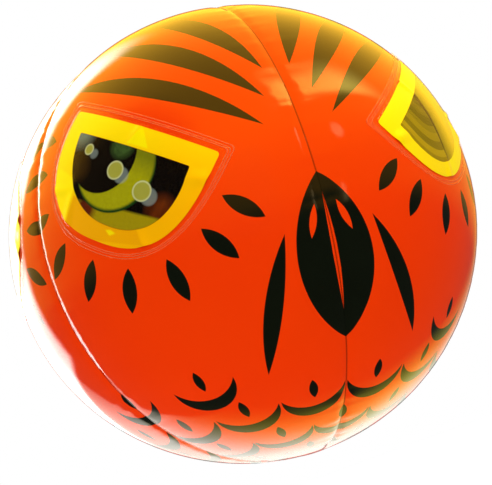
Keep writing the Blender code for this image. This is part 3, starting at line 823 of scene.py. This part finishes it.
def calc_vector(tree, operation, first, second=None, output=0):
    values = {0: first} if second is None else {0: first, 1: second}
    return add(tree, "ShaderNodeVectorMath", values, operation=operation).outputs[output]


def dot(tree, first, second):
    return calc_vector(tree, "DOT_PRODUCT", first, second, "Value")


def product(tree, *factors):
    result = factors[0]
    for factor in factors[1:]:
        result = calc(tree, "MULTIPLY", result, factor)
    return result


def split(tree, vector):
    return add(tree, "ShaderNodeSeparateXYZ", {0: vector}).outputs


def distance(tree, x, y):
    return calc(tree, "SQRT", calc(tree, "ADD", product(tree, x, x), product(tree, y, y)))


def longitude_of(tree, parts):
    """Longitude of a direction given by its parts, in radians."""
    return calc(tree, "ARCTAN2", parts["X"], product(tree, parts["Y"], -1.0))


def soft_edge(tree, depth, softness):
    """One where the depth is above zero and zero where it is below, with a soft change between."""
    return calc(tree, "MULTIPLY_ADD", depth, 1 / softness, 0.5, clamp=True)


def rising(tree, value, reach):
    """Zero below a value of zero, and one from the reach on."""
    return calc(tree, "MULTIPLY", value, 1 / reach, clamp=True)


def dimmed(tree, share, loss):
    """A factor that is one, less the loss where the share is one."""
    return calc(tree, "MULTIPLY_ADD", share, -loss, 1.0)


def blend_colour(tree, share, first, second, mode="MIX"):
    values = {0: share, 6: first, 7: second}
    return add(tree, "ShaderNodeMix", values, data_type="RGBA", blend_type=mode).outputs[2]


def noise(tree, scale, detail=2.0, roughness=0.5, vector=None):
    values = {"Scale": scale, "Detail": detail, "Roughness": roughness}
    if vector is not None:
        values["Vector"] = vector
    return add(tree, "ShaderNodeTexNoise", values).outputs["Fac"]


def colour(hexadecimal):
    """A linear colour from a display one written as six hexadecimal digits."""
    parts = [int(hexadecimal[spot:spot + 2], 16) / 255 for spot in (0, 2, 4)]
    linear = [part / 12.92 if part <= 0.04045 else ((part + 0.055) / 1.055) ** 2.4 for part in parts]
    return (*linear, 1.0)


def paint(tree, tone, share, tint, strength):
    """Lays a tint over a tone where the share is one, at a strength."""
    return blend_colour(tree, product(tree, share, strength), tone, tint)


def new_group(name, place, outputs, kind="NodeSocketFloat"):
    """A node group from one place or direction to outputs of one kind."""
    group = bpy.data.node_groups.new(name, "ShaderNodeTree")
    group.interface.new_socket(place, in_out="INPUT", socket_type="NodeSocketVector")
    for label in outputs:
        group.interface.new_socket(label, in_out="OUTPUT", socket_type=kind)
    source, result = group.nodes.new("NodeGroupInput"), group.nodes.new("NodeGroupOutput")
    return group, source.outputs[place], result


def use_group(tree, group, values):
    return add(tree, "ShaderNodeGroup", values, node_tree=group).outputs


def new_material(name):
    material = bpy.data.materials.new(name)
    material.use_nodes = True
    tree = material.node_tree
    return material, tree, tree.nodes["Principled BSDF"]


def worn_material(name, wear):
    """A new material, its node tree, its shader, and how worn the surface is at each place."""
    material, tree, shader = new_material(name)
    return material, tree, shader, use_group(tree, wear, {"Place": object_place(tree)})


def unit(latitude, longitude):
    """Unit vector from the ball's centre to a place on it."""
    up, around = math.radians(latitude), math.radians(longitude)
    return Vector((math.cos(up) * math.sin(around), -math.cos(up) * math.cos(around), math.sin(up)))


def edge_circle(start, end, bulge):
    """Axis and offset of the circle on the unit ball through two points, with a signed bulge."""
    middle = (start + end).normalized()
    across = start.cross(end).normalized()
    half = start.angle(end) / 2
    lift = math.atan2(math.cos(math.radians(bulge)) - math.cos(half), math.sin(math.radians(bulge)))
    return middle * math.cos(lift) + across * math.sin(lift), math.cos(lift) * math.cos(half)


def leaf(tree, direction, start, end, bulge, other_bulge):
    """How deep a direction lies inside the leaf between two edges, above zero inside it."""
    depths = []
    for value in (bulge, other_bulge):
        axis, offset = edge_circle(start, end, value)
        size = math.sqrt(1 - offset * offset)
        depths.append((dot(tree, direction, axis / size), offset / size))
    inside = calc(tree, "SUBTRACT", depths[0][0], depths[0][1])
    outside = calc(tree, "SUBTRACT", depths[1][1], depths[1][0])
    return calc(tree, "MINIMUM", inside, outside)


def lash_leaves():
    """Short leaves that point away from the eye's lower edge."""
    line = patch_line()
    leaves = []
    for number in range(LASH_COUNT):
        spot = round(ARC_STEPS * (number + 1) / (LASH_COUNT + 1))
        ahead = line[spot + 1] - line[spot - 1]
        outward = np.array([-ahead[1], ahead[0]]) / np.linalg.norm(ahead)
        tips = []
        for reach in LASH_REACHES:
            point = Vector(laid_on_ball(line[spot] + reach * outward, np.array(0.0)))
            scaled = Vector((point.x / EQUATOR_RADIUS, point.y / EQUATOR_RADIUS, point.z / POLE_RADIUS))
            tips.append(scaled.normalized())
        leaves.append((*tips, LASH_BULGE, -LASH_BULGE))
    return leaves


def plumage_leaves():
    """Every printed leaf as two unit directions and two bulges."""
    leaves = []
    for start, end, *bulges in (*BROW_LEAVES, BEAK, JOWL):
        leaves.append((unit(*start), unit(*end), *bulges))
    for latitude, longitudes, spread in SCALLOP_ROWS:
        for longitude in longitudes:
            ends = unit(latitude, longitude - spread), unit(latitude, longitude + spread)
            tips = [unit(latitude + reach, longitude) for reach in QUILL_REACH]
            leaves.append((*ends, *SCALLOP_BULGES))
            leaves.append((*tips, QUILL_BULGE, -QUILL_BULGE))
    for high, low, longitudes, bulge in CROWN_ROWS:
        for longitude in longitudes:
            leaves.append((unit(high, longitude), unit(low, longitude), bulge, -bulge))
    return leaves + lash_leaves()


def plumage_group():
    """The printed plumage as a mask, and the distance from the nearest seam, from a place on the film."""
    group, place, result = new_group("printed_plumage", "Place", ("Ink", "Seam Distance"))
    centred = calc_vector(group, "SUBTRACT", place, BALL_CENTRE)
    scaled = calc_vector(group, "DIVIDE", centred, (EQUATOR_RADIUS, EQUATOR_RADIUS, POLE_RADIUS))
    parts = split(group, calc_vector(group, "NORMALIZE", scaled))
    ring = distance(group, parts["X"], parts["Y"])
    half_face = math.radians(GORE_ANGLE)
    folded = calc(group, "ABSOLUTE", calc(group, "WRAP", longitude_of(group, parts), half_face, -half_face))
    side = product(group, ring, calc(group, "SINE", folded))
    front = product(group, ring, calc(group, "COSINE", folded), -1.0)
    direction = add(group, "ShaderNodeCombineXYZ", {"X": side, "Y": front, "Z": parts["Z"]}).outputs[0]
    depth = -1.0
    for item in plumage_leaves():
        depth = calc(group, "MAXIMUM", depth, leaf(group, direction, *item))
    for start, end, *bulges in (BEAK_RIDGE, NOSTRIL):
        bare = leaf(group, direction, unit(*start), unit(*end), *bulges)
        depth = calc(group, "MINIMUM", depth, product(group, bare, -1.0))
    from_seam = calc(group, "ABSOLUTE", calc(group, "WRAP", folded, half_face / 2, -half_face / 2))
    away = product(group, from_seam, ring, EQUATOR_RADIUS)
    fill(group, result, {"Ink": soft_edge(group, depth, PRINT_EDGE), "Seam Distance": away})
    return group


def film_wear_group():
    """Faint handling marks, dust and slackness of a film, as values that vary over the surface."""
    group, place, result = new_group("film_wear", "Place", ("Tone", "Marks", "Slackness"))
    tone = noise(group, TONE_GRAIN, detail=3.0, roughness=0.6, vector=place)
    smears = noise(group, SMEAR_GRAIN, detail=5.0, roughness=0.65, vector=place)
    dust = noise(group, DUST_GRAIN, detail=1.0, vector=place)
    specks = calc(group, "GREATER_THAN", dust, DUST_LIMIT)
    marks = calc(group, "ADD", product(group, smears, SMEAR_SHARE), product(group, specks, SPECK_SHARE))
    waves = noise(group, WAVE_GRAIN, roughness=0.4, vector=place)
    ripples = noise(group, RIPPLE_GRAIN, vector=place)
    slack = calc(group, "ADD", waves, product(group, ripples, RIPPLE_SHARE))
    fill(group, result, {"Tone": tone, "Marks": marks, "Slackness": slack})
    return group


def surface_bump(tree, height, strength, distance):
    values = {"Height": height, "Strength": strength, "Distance": distance}
    return add(tree, "ShaderNodeBump", values).outputs["Normal"]


def object_place(tree):
    return add(tree, "ShaderNodeTexCoord").outputs["Object"]


def set_surface(tree, shader, worn, tone, rough, rubbed, bump, fixed=()):
    """Gives a shader its tone, a roughness that handling marks raise, its bump and its fixed values."""
    roughness = calc(tree, "MULTIPLY_ADD", worn["Marks"], rubbed, rough)
    fill(tree, shader, {"Base Color": tone, "Roughness": roughness, "Normal": bump, **dict(fixed)})


def film_material(plumage, wear, printed):
    """Glossy orange film, plain or with the dark plumage and a thin dark line along each seam."""
    name = "orange_film_printed" if printed else "orange_film_plain"
    material, tree, shader, worn = worn_material(name, wear)
    tone = blend_colour(tree, worn["Tone"], "EE3000", "F74000")
    rough = PLAIN_FILM_ROUGHNESS
    if printed:
        plumes = use_group(tree, plumage, {"Place": object_place(tree)})
        near = calc(tree, "DIVIDE", plumes["Seam Distance"], SEAM_LINE_HALF_WIDTH)
        line = calc(tree, "SUBTRACT", 1.0, near, clamp=True)
        tone = paint(tree, tone, line, "7A1E04", SEAM_LINE_STRENGTH)
        ink = blend_colour(tree, worn["Marks"], "050A05", "0C140B")
        tone = blend_colour(tree, plumes["Ink"], tone, ink)
        rough = calc(tree, "MULTIPLY_ADD", plumes["Ink"], INK_ROUGHNESS, FILM_ROUGHNESS)
    bump = surface_bump(tree, worn["Slackness"], strength=0.25, distance=0.002)
    fixed = {"IOR": 1.34, "Specular Tint": "FFE8B0"}
    set_surface(tree, shader, worn, tone, rough, rubbed=0.05, bump=bump, fixed=fixed)
    return material


def foil_material(wear, name, shaded_tone, lit_tone, folded):
    """Yellow foil with painted light and shade: deeper below and towards the beak, paler along the brow, with
    a painted highlight beyond its fold or painted highlight facets over painted shade at its foot.
    """
    material, tree, shader, worn = worn_material(name, wear)
    spot = pattern_place(tree)
    drift = calc(tree, "MULTIPLY_ADD", worn["Tone"], FOIL_TONE_DRIFT, -FOIL_TONE_DRIFT / 2)
    # Painted sheen and shade: paler towards the outer end of the brow and upwards, deeper below and towards
    # the beak.
    along = calc(tree, "MULTIPLY_ADD", spot[0], FOIL_PAINTED_SHEEN_ALONG, FOIL_PAINTED_SHEEN_START)
    painted_sheen = calc(tree, "ADD", along, product(tree, spot[1], FOIL_PAINTED_SHEEN_UP))
    tone = blend_colour(tree, calc(tree, "ADD", painted_sheen, drift, clamp=True), shaded_tone, lit_tone)
    if folded:
        # Painted highlight: the foil beyond the bent fold is paler, as if lit.
        painted_light_beyond_fold = rising(tree, from_fold(tree, spot), FOLD_SOFTNESS)
        tone = paint(tree, tone, painted_light_beyond_fold, "FFF600", 0.85)
    else:
        # Painted shade at the foil's foot, then painted highlights on its bright facets.
        tone = paint(tree, tone, facet_share(tree, spot, FOIL_PAINTED_SHADE_FOOT), "F6A800", 0.8)
        for corners in FOIL_PAINTED_HIGHLIGHT_FACETS:
            tone = paint(tree, tone, facet_share(tree, spot, corners), "FFF200", 0.75)
    bump = surface_bump(tree, worn["Slackness"], strength=0.5, distance=0.003)
    fixed = {"Metallic": FOIL_METAL, "IOR": 1.25, "Specular Tint": "FFE040"}
    set_surface(tree, shader, worn, tone, rough=0.3, rubbed=0.12, bump=bump, fixed=fixed)
    return material


def disc_share(tree, spot, centre, radius, softness):
    """One inside a disc of the eye's flat pattern, and zero outside it."""
    parts = [calc(tree, "SUBTRACT", part, middle * MILLIMETRE) for part, middle in zip(spot, centre)]
    depth = calc(tree, "SUBTRACT", radius * MILLIMETRE, distance(tree, *parts))
    return soft_edge(tree, depth, softness * MILLIMETRE)


def past_line(tree, spot, start, end, softness):
    """One on the left of a line of the flat pattern as seen from its start, and zero on its right."""
    ahead = (Vector(end) - Vector(start)).normalized()
    x = product(tree, calc(tree, "SUBTRACT", spot[0], start[0] * MILLIMETRE), -ahead.y)
    y = product(tree, calc(tree, "SUBTRACT", spot[1], start[1] * MILLIMETRE), ahead.x)
    return soft_edge(tree, calc(tree, "ADD", x, y), softness * MILLIMETRE)


def facet_share(tree, spot, corners):
    """One inside a facet with anticlockwise corners, and zero outside it."""
    sides = zip(corners, (*corners[1:], corners[0]))
    return product(tree, *(past_line(tree, spot, start, end, FACET_SOFTNESS) for start, end in sides))


def from_fold(tree, spot):
    """How far a place of the flat pattern lies on the outer side of the bent fold, in metres."""
    lines = [calc(tree, "MULTIPLY_ADD", spot[1], slope, start) for slope, start in FOLD_LINES]
    return calc(tree, "SUBTRACT", spot[0], calc(tree, "MINIMUM", *lines))


def pattern_place(tree, name="Pattern"):
    """Place in the eye's flat pattern, along the brow and up, or the values of another UV layer."""
    parts = split(tree, add(tree, "ShaderNodeUVMap", uv_map=name).outputs["UV"])
    return parts["X"], parts["Y"]


def lens_finish(tree, shader, worn, tone):
    bump = surface_bump(tree, worn["Slackness"], strength=0.3, distance=0.002)
    set_surface(tree, shader, worn, tone, rough=0.12, rubbed=0.1, bump=bump, fixed={"IOR": 1.15})


def deep_lens_material(wear):
    """Depth foil with a dark pupil in front of an olive ring, and three painted lamp reflections, each with a
    fainter ghost.
    """
    material, tree, shader, worn = worn_material("lens_foil_deep", wear)
    spot = pattern_place(tree)
    cloud = noise(tree, CLOUD_GRAIN, detail=3.0)
    stretched = {axis: product(tree, part, grain) for axis, part, grain in zip("XY", spot, STREAK_GRAINS)}
    streaks = noise(tree, 1.0, vector=add(tree, "ShaderNodeCombineXYZ", stretched).outputs[0])
    dark = blend_colour(tree, cloud, "000004", "100A02")
    olive = blend_colour(tree, cloud, "8A8804", "ACA80C")
    reddish = blend_colour(tree, streaks, "1A0602", "7A3206")
    foot = blend_colour(tree, cloud, "8A7C06", "A89408")
    foot = blend_colour(tree, disc_share(tree, spot, *RED_FOOT), foot, "5A1E08")
    tone = blend_colour(tree, disc_share(tree, spot, *RED_CORNER), dark, reddish)
    tone = blend_colour(tree, past_line(tree, spot, *FOOT_LINE), foot, tone)
    ring = paint(tree, olive, past_line(tree, spot, *TOP_SHADE), GREEN_SHADE, 0.5)
    ring = blend_colour(tree, disc_share(tree, spot, *GREEN_RIM), GREEN_SHADE, ring)
    tone = blend_colour(tree, disc_share(tree, spot, *OLIVE_RING), tone, ring)
    pupil = paint(tree, dark, disc_share(tree, spot, *BROWN_PATCH), "2C1A04", 0.8)
    pupil = paint(tree, pupil, disc_share(tree, spot, *GREEN_PATCH), "4C6E30", cloud)
    tone = blend_colour(tree, disc_share(tree, spot, *PUPIL), tone, pupil)
    tone = paint(tree, tone, disc_share(tree, spot, *OUTER_HAZE), "6C8474", 0.8)
    # Painted reflections of three small lamps, each with a fainter ghost copy offset beside it.
    for centre, radius in PAINTED_LAMP_REFLECTIONS:
        ghost = (centre[0] + REFLECTION_GHOST_SHIFT[0], centre[1] + REFLECTION_GHOST_SHIFT[1])
        behind = disc_share(tree, spot, ghost, REFLECTION_GHOST_SHARE * radius, REFLECTION_GHOST_SOFTNESS)
        whole = disc_share(tree, spot, centre, radius, REFLECTION_SOFTNESS)
        reflection_core = disc_share(tree, spot, centre, radius - REFLECTION_RIM, REFLECTION_CORE_SOFTNESS)
        tone = paint(tree, tone, behind, "8C988E", 0.5)
        tone = blend_colour(tree, whole, tone, "C6C88E")
        tone = blend_colour(tree, reflection_core, tone, "9C9A38")
    lens_finish(tree, shader, worn, tone)
    return material


def banded_lens_material(wear):
    """Depth foil seen as bands nested in the window's outline, with painted shade along one fold and painted
    light, a brighter gold, beyond it.
    """
    material, tree, shader, worn = worn_material("lens_foil_banded", wear)
    spot = pattern_place(tree)
    down = calc(tree, "MULTIPLY_ADD", spot[1], -1 / WINDOW_DEPTH, WINDOW_TOP / WINDOW_DEPTH, clamp=True)
    skewed = calc(tree, "MULTIPLY_ADD", down, WINDOW_SLANT_SHARE * WINDOW_DEPTH, spot[0])
    wide = calc(tree, "ABSOLUTE", calc(tree, "DIVIDE", skewed, WINDOW_WIDTH / 2))
    powers = [calc(tree, "POWER", part, WINDOW_ROUNDNESS) for part in (wide, down)]
    nest = calc(tree, "POWER", calc(tree, "ADD", *powers), 1 / WINDOW_ROUNDNESS)
    ramp = add(tree, "ShaderNodeValToRGB", {0: nest})
    band = ramp.color_ramp
    band.interpolation = "CONSTANT"
    while len(band.elements) < len(BANDS):
        band.elements.new(0.5)
    for element, (place, tint) in zip(band.elements, BANDS):
        element.position = place
        element.color = colour(tint)
    aside = from_fold(tree, spot)
    # Painted light: beyond the fold the foil turns a brighter gold.
    painted_gold_light = blend_colour(tree, rising(tree, aside, PAINTED_GOLD_REACH), "7E6E04", "F0CC02")
    tone = blend_colour(tree, rising(tree, aside, FOLD_SOFTNESS), ramp.outputs["Color"], painted_gold_light)
    # Painted shade: a dark line along the fold, widening upwards.
    fold_shade_half_width = calc(tree, "MULTIPLY_ADD", spot[1], FOLD_SHADE_WIDENING, FOLD_SHADE_HALF_WIDTH)
    inside = calc(tree, "SUBTRACT", fold_shade_half_width, calc(tree, "ABSOLUTE", aside))
    tone = blend_colour(tree, soft_edge(tree, inside, MILLIMETRE), tone, "141204")
    lens_finish(tree, shader, worn, tone)
    return material


def mix_shaders(tree, share, first, second):
    values = {0: share, 1: first.outputs[0], 2: second.outputs[0]}
    return add(tree, "ShaderNodeMixShader", values)


def clear_material(wear):
    """Clear film: only its gloss shows, stronger at a slant, and lighter orange lines along its welds, partly
    painted highlights of the weld beads.
    """
    material, tree, shader, worn = worn_material("clear_film_gloss", wear)
    tree.nodes.remove(shader)
    clear = add(tree, "ShaderNodeBsdfTransparent", {"Color": "FFFFFF"})
    rough = calc(tree, "MULTIPLY_ADD", worn["Marks"], 0.05, CLEAR_FILM_ROUGHNESS)
    bump = surface_bump(tree, worn["Slackness"], strength=0.25, distance=0.002)
    gloss = add(tree, "ShaderNodeBsdfGlossy", {"Roughness": rough, "Normal": bump})
    facing = add(tree, "ShaderNodeFresnel", {"IOR": 1.15, "Normal": bump}).outputs[0]
    front = calc(tree, "SUBTRACT", 1.0, add(tree, "ShaderNodeNewGeometry").outputs["Backfacing"])
    film = mix_shaders(tree, product(tree, facing, front), clear, gloss)
    rim = pattern_place(tree, "Rim")[0]
    lines = 0.0
    for place in WELD_LINE_PLACES:
        away = calc(tree, "ABSOLUTE", calc(tree, "SUBTRACT", rim, place))
        line = calc(tree, "MULTIPLY_ADD", away, -1 / WELD_LINE_HALF_WIDTH, 1.0, clamp=True)
        lines = calc(tree, "MAXIMUM", lines, line)
    # Lighter orange weld lines, partly a painted highlight of the weld beads.
    weld_line_and_highlight_tone = add(tree, "ShaderNodeBsdfDiffuse", {"Color": "FF8A50"})
    surface = mix_shaders(tree, product(tree, lines, WELD_LINE_STRENGTH), film, weld_line_and_highlight_tone)
    fill(tree, tree.nodes["Material Output"], {"Surface": surface.outputs[0]})
    return material


def plastic_material(wear):
    material, tree, shader, worn = worn_material("valve_plastic_milky", wear)
    tone = blend_colour(tree, worn["Tone"], "E8E4DA", "D8D2C4")
    bump = surface_bump(tree, noise(tree, PLASTIC_GRAIN), strength=0.15, distance=0.0003)
    set_surface(tree, shader, worn, tone, rough=0.25, rubbed=0.15, bump=bump)
    return material


def metal_material(wear):
    material, tree, shader, worn = worn_material("eyelet_metal_worn", wear)
    tone = blend_colour(tree, worn["Marks"], "C8C6C0", "8E8A80")
    bump = surface_bump(tree, noise(tree, METAL_GRAIN, detail=3.0), strength=0.1, distance=0.0002)
    set_surface(tree, shader, worn, tone, rough=0.16, rubbed=0.2, bump=bump, fixed={"Metallic": 1.0})
    return material


def wear_material(thing, material):
    """Gives a piece its material through the object's own slot."""
    if not thing.material_slots:
        thing.data.materials.append(None)
    for slot in thing.material_slots:
        slot.link = "OBJECT"
        slot.material = material


def fit(thing, body, slot, material, *nodes):
    """Puts a piece on its body in place of the solid model's nodes."""
    wear_material(thing, material)
    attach(thing, body)
    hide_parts(*nodes)


def dress_ball(materials):
    for number in range(1, GORES + 1):
        panel = gore_panel(number)
        if number == VALVE_GORE:
            panel = cut_valve_hole(panel)
        fit(panel, "ball", "orange_film", materials["film"], f"gore_panel_{number}")
        lens = materials["deep_lens" if number % 2 else "banded_lens"]
        # Lit and shaded copies of one yellow foil, with their light and shade painted.
        foil = materials["foil_painted_shade" if number % 2 else "foil_painted_light"]
        fit(eye_patch(number), "ball", "yellow_foil", foil, f"eye_patch_{number}")
        fit(eye_lens(number), "ball", "lens_foil", lens, f"eye_lens_{number}")
        fit(eye_cover(number), "ball", "clear_film", materials["clear"], f"eye_cover_{number}")
    for name, side in (("top", 1), ("bottom", -1)):
        disc = pole_disc(f"{name}_weld_disc", side)
        fit(disc, "ball", "orange_film", materials["plain_film"], f"{name}_pole_disc")


def dress_fittings(nodes, materials):
    plastic, film, metal = materials["plastic"], materials["plain_film"], materials["metal"]
    fit(fine_valve_flange(), "ball", "valve_plastic", plastic, "valve_flange")
    fit(fine_valve_stem(), "valve_stem", "valve_plastic", plastic, "valve_stem")
    fit(fine_valve_plug(), "valve_plug", "valve_plastic", plastic, "valve_plug")
    fit(fine_check_flap(), "check_flap", "valve_plastic", plastic, "check_flap")
    fit(fine_hang_tab(), "hang_tab", "orange_film", film, "hang_tab")
    fit(fine_eyelet_barrel(), "hang_tab", "eyelet_metal", metal, "eyelet_barrel")
    fit(fine_eyelet_washer(), "hang_tab", "eyelet_metal", metal, "eyelet_washer")
    wear_material(nodes["tab_base"], film)


def area_lamp(name, place, distance, size, radiance, tint="FFFFFF"):
    """A soft lamp in the direction of a place on the ball, which the camera and gloss don't see."""
    data = bpy.data.lights.new(name, "AREA")
    data.shape = "RECTANGLE"
    data.size, data.size_y = size
    data.energy = radiance * math.pi * size[0] * size[1]
    data.color = colour(tint)[:3]
    lamp = link_object(name, data)
    away = unit(*place)
    lamp.location = BALL_CENTRE + away * distance
    lamp.rotation_euler = away.to_track_quat("Z", "Y").to_euler()
    lamp.visible_camera = False
    lamp.visible_glossy = False


def light_studio():
    area_lamp("key_softbox", (46, 34), distance=1.7, size=(0.9, 0.55), radiance=6.0, tint="FFE8C4")
    area_lamp("front_fill", (8, -20), distance=2.6, size=(2.2, 1.8), radiance=1.3)
    area_lamp("back_left_panel", (8, -161), distance=1.4, size=(1.15, 1.4), radiance=3.0)
    area_lamp("floor_glow", (-72, -160), distance=0.8, size=(1.5, 1.2), radiance=0.7, tint="FFE6C0")


def ease(tree, value, low, high):
    """Zero below the low value and one above the high one, with a soft change between them."""
    values = {"Value": value, "From Min": low, "From Max": high}
    return add(tree, "ShaderNodeMapRange", values, interpolation_type="SMOOTHSTEP").outputs[0]


def towards(tree, heading, place, fade):
    """How nearly a heading points to a place on the ball, eased between two cosines."""
    return ease(tree, dot(tree, heading, unit(*place)), *fade)


def softbox_glow(tree, heading, azimuth):
    """A lit panel over the front right: sharp along its lower edge, fading upwards and to its sides."""
    ends = [unit(*end) for end in SOFTBOX_LOW_EDGE]
    over = dot(tree, heading, ends[0].cross(ends[1]).normalized())
    fades = [ease(tree, over, *fade) for fade in SOFTBOX_UPRIGHT_FADES]
    fades += [ease(tree, azimuth, *fade) for fade in SOFTBOX_SIDE_FADES]
    return product(tree, *fades, SOFTBOX_GLOW)


def small_lights(tree, heading, azimuth, height):
    """A small lamp under the panel, and a narrow upright strip light at eye level."""
    lamp = towards(tree, heading, SMALL_LAMP_PLACE, SMALL_LAMP_FADE)
    away = calc(tree, "ABSOLUTE", calc(tree, "SUBTRACT", azimuth, STRIP_AZIMUTH))
    ends = ease(tree, calc(tree, "ABSOLUTE", height), *STRIP_END_FADE)
    strip = product(tree, ease(tree, away, *STRIP_SIDE_FADE), ends)
    return product(tree, calc(tree, "ADD", lamp, strip), SMALL_LIGHT_GLOW)


def white_wall(tree, heading, height):
    """The lit paper behind and to the left."""
    behind = towards(tree, heading, WALL_BEHIND, WALL_BEHIND_FADE)
    left = towards(tree, heading, WALL_LEFT, WALL_LEFT_FADE)
    fades = [ease(tree, height, *fade) for fade in WALL_HEIGHT_FADES]
    return product(tree, behind, left, *fades, WALL_GLOW)


def table_glow(tree, heading, height):
    """The lit table behind, seen in the gloss under the ball."""
    spread = towards(tree, heading, TABLE_MIDDLE, TABLE_MIDDLE_FADE)
    sides = [ease(tree, dot(tree, heading, edge), *TABLE_EDGE_FADE) for edge in TABLE_EDGES]
    near = dimmed(tree, ease(tree, height, *NEAR_TABLE_FADE), NEAR_TABLE_LOSS)
    return product(tree, spread, *sides, near, TABLE_GLOW)


def studio_group():
    """What gloss reflects in each direction, as a colour."""
    group, direction, result = new_group("studio_surroundings", "Direction", ("Glow",), "NodeSocketColor")
    heading = calc_vector(group, "NORMALIZE", direction)
    parts = split(group, heading)
    height = parts["Z"]
    azimuth = calc(group, "DEGREES", longitude_of(group, parts))
    far_table = towards(group, heading, FAR_TABLE, FAR_TABLE_FADE)
    table_tint = blend_colour(group, far_table, "FFF24A", "FFFDF2")
    behind_ball = towards(group, heading, BEHIND_BALL, BEHIND_BALL_FADE)
    kept = dimmed(group, behind_ball, BEHIND_BALL_LOSS)
    in_corner = towards(group, heading, DIM_CORNER, DIM_CORNER_FADE)
    corner = dimmed(group, in_corner, DIM_CORNER_LOSS)
    ceiling = ease(group, height, *CEILING_FADE)
    overhead = calc(group, "MULTIPLY_ADD", ceiling, CEILING_GLOW, ease(group, height, *HORIZON_FADE))
    layers = (
        (ROOM_BRIGHTNESS, "FFFFFF"),
        (product(group, overhead, kept, corner), "FFC020"),
        (softbox_glow(group, heading, azimuth), "FFF381"),
        (small_lights(group, heading, azimuth, height), "FFF4E0"),
        (product(group, white_wall(group, heading, height), kept), "FFFFFF"),
        (product(group, table_glow(group, heading, height), kept), table_tint),
    )
    glow = (0.0, 0.0, 0.0, 1.0)
    for strength, tint in layers:
        tone = colour(tint)[:3] if isinstance(tint, str) else tint
        lit = add(group, "ShaderNodeVectorMath", {0: tone, "Scale": strength}, operation="SCALE").outputs[0]
        glow = blend_colour(group, 1.0, glow, lit, "ADD")
    fill(group, result, {"Glow": glow})
    return group


def seen_straight(tree, path):
    """One where the camera sees a surface itself or through clear film."""
    return calc(tree, "MAXIMUM", path["Is Camera Ray"], path["Is Transmission Ray"])


def white_world(studio):
    """White to the camera, an even light on the object, and the studio in its gloss."""
    world = bpy.data.worlds.new("studio_world")
    world.use_nodes = True
    tree = world.node_tree
    tree.nodes.clear()
    path = add(tree, "ShaderNodeLightPath").outputs
    heading = add(tree, "ShaderNodeTexCoord").outputs["Generated"]
    plain = calc(tree, "MULTIPLY_ADD", seen_straight(tree, path), 1 - AMBIENT_LIGHT, AMBIENT_LIGHT)
    even = add(tree, "ShaderNodeBackground", {"Color": "FFFFFF", "Strength": plain})
    room = use_group(tree, studio, {"Direction": heading})["Glow"]
    mirrored = add(tree, "ShaderNodeBackground", {"Color": room})
    both = mix_shaders(tree, path["Is Glossy Ray"], even, mirrored)
    add(tree, "ShaderNodeOutputWorld", {"Surface": both.outputs[0]})
    bpy.context.scene.world = world


def studio_floor():
    """A pale floor that shows white to the camera and keeps the ball's shadow."""
    material, tree, shader = new_material("studio_floor")
    grain = blend_colour(tree, noise(tree, FLOOR_GRAIN, detail=4.0), "F2F2F0", "EDEDEA")
    fill(tree, shader, {"Base Color": grain, "Roughness": FLOOR_ROUGHNESS})
    seen = seen_straight(tree, add(tree, "ShaderNodeLightPath").outputs)
    glow = add(tree, "ShaderNodeEmission", {"Strength": product(tree, seen, FLOOR_GLOW)})
    shaded = add(tree, "ShaderNodeAddShader", {0: shader.outputs[0], 1: glow.outputs[0]})
    fill(tree, tree.nodes["Material Output"], {"Surface": shaded.outputs[0]})
    corners = ((-1, -1), (1, -1), (1, 1), (-1, 1))
    points = [(x * FLOOR_REACH, y * FLOOR_REACH, FLOOR_LEVEL) for x, y in corners]
    mesh = bpy.data.meshes.new("studio_floor")
    mesh.from_pydata(points, [], [(0, 1, 2, 3)])
    floor = link_object("studio_floor", mesh)
    floor.visible_glossy = False
    wear_material(floor, material)


def place_camera():
    """The photograph's viewpoint: the lens's axis meets the picture right of its middle."""
    data = bpy.data.cameras.new("camera")
    data.sensor_width = SENSOR_WIDTH
    data.lens = FOCAL_PIXELS * SENSOR_WIDTH / IMAGE_WIDTH
    data.shift_x = (IMAGE_WIDTH / 2 - AXIS_PIXEL[0]) / IMAGE_WIDTH
    data.shift_y = (AXIS_PIXEL[1] - IMAGE_HEIGHT / 2) / IMAGE_WIDTH
    data.clip_start = NEAREST_SEEN
    camera = link_object("camera", data)
    back = CAMERA_RIGHT.cross(CAMERA_UP)
    turn = Matrix((CAMERA_RIGHT, CAMERA_UP, back)).transposed()
    camera.matrix_world = Matrix.Translation(BALL_CENTRE + CAMERA_OFFSET * EQUATOR_RADIUS) @ turn.to_4x4()
    bpy.context.scene.camera = camera


def build_materials():
    plumage, wear = plumage_group(), film_wear_group()
    return {
        "film": film_material(plumage, wear, True),
        "plain_film": film_material(plumage, wear, False),
        # Two copies of one yellow foil, one with painted shade and one with painted light.
        "foil_painted_shade": foil_material(wear, "yellow_foil_shaded_copy", "FFB800", "FFE800", False),
        "foil_painted_light": foil_material(wear, "yellow_foil_lit_copy", "FFE400", "FFFA00", True),
        "deep_lens": deep_lens_material(wear),
        "banded_lens": banded_lens_material(wear),
        "clear": clear_material(wear),
        "plastic": plastic_material(wear),
        "metal": metal_material(wear),
    }


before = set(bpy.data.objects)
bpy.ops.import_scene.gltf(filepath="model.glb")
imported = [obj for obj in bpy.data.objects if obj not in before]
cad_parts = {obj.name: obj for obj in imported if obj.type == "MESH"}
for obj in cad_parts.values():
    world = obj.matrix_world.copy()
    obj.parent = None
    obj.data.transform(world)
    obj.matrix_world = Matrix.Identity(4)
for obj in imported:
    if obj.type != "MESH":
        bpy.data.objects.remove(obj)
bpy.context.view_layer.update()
bpy.context.scene.view_settings.view_transform = "Standard"
materials = build_materials()
dress_ball(materials)
dress_fittings(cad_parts, materials)
studio = studio_group()
studio_floor()
white_world(studio)
light_studio()
place_camera()
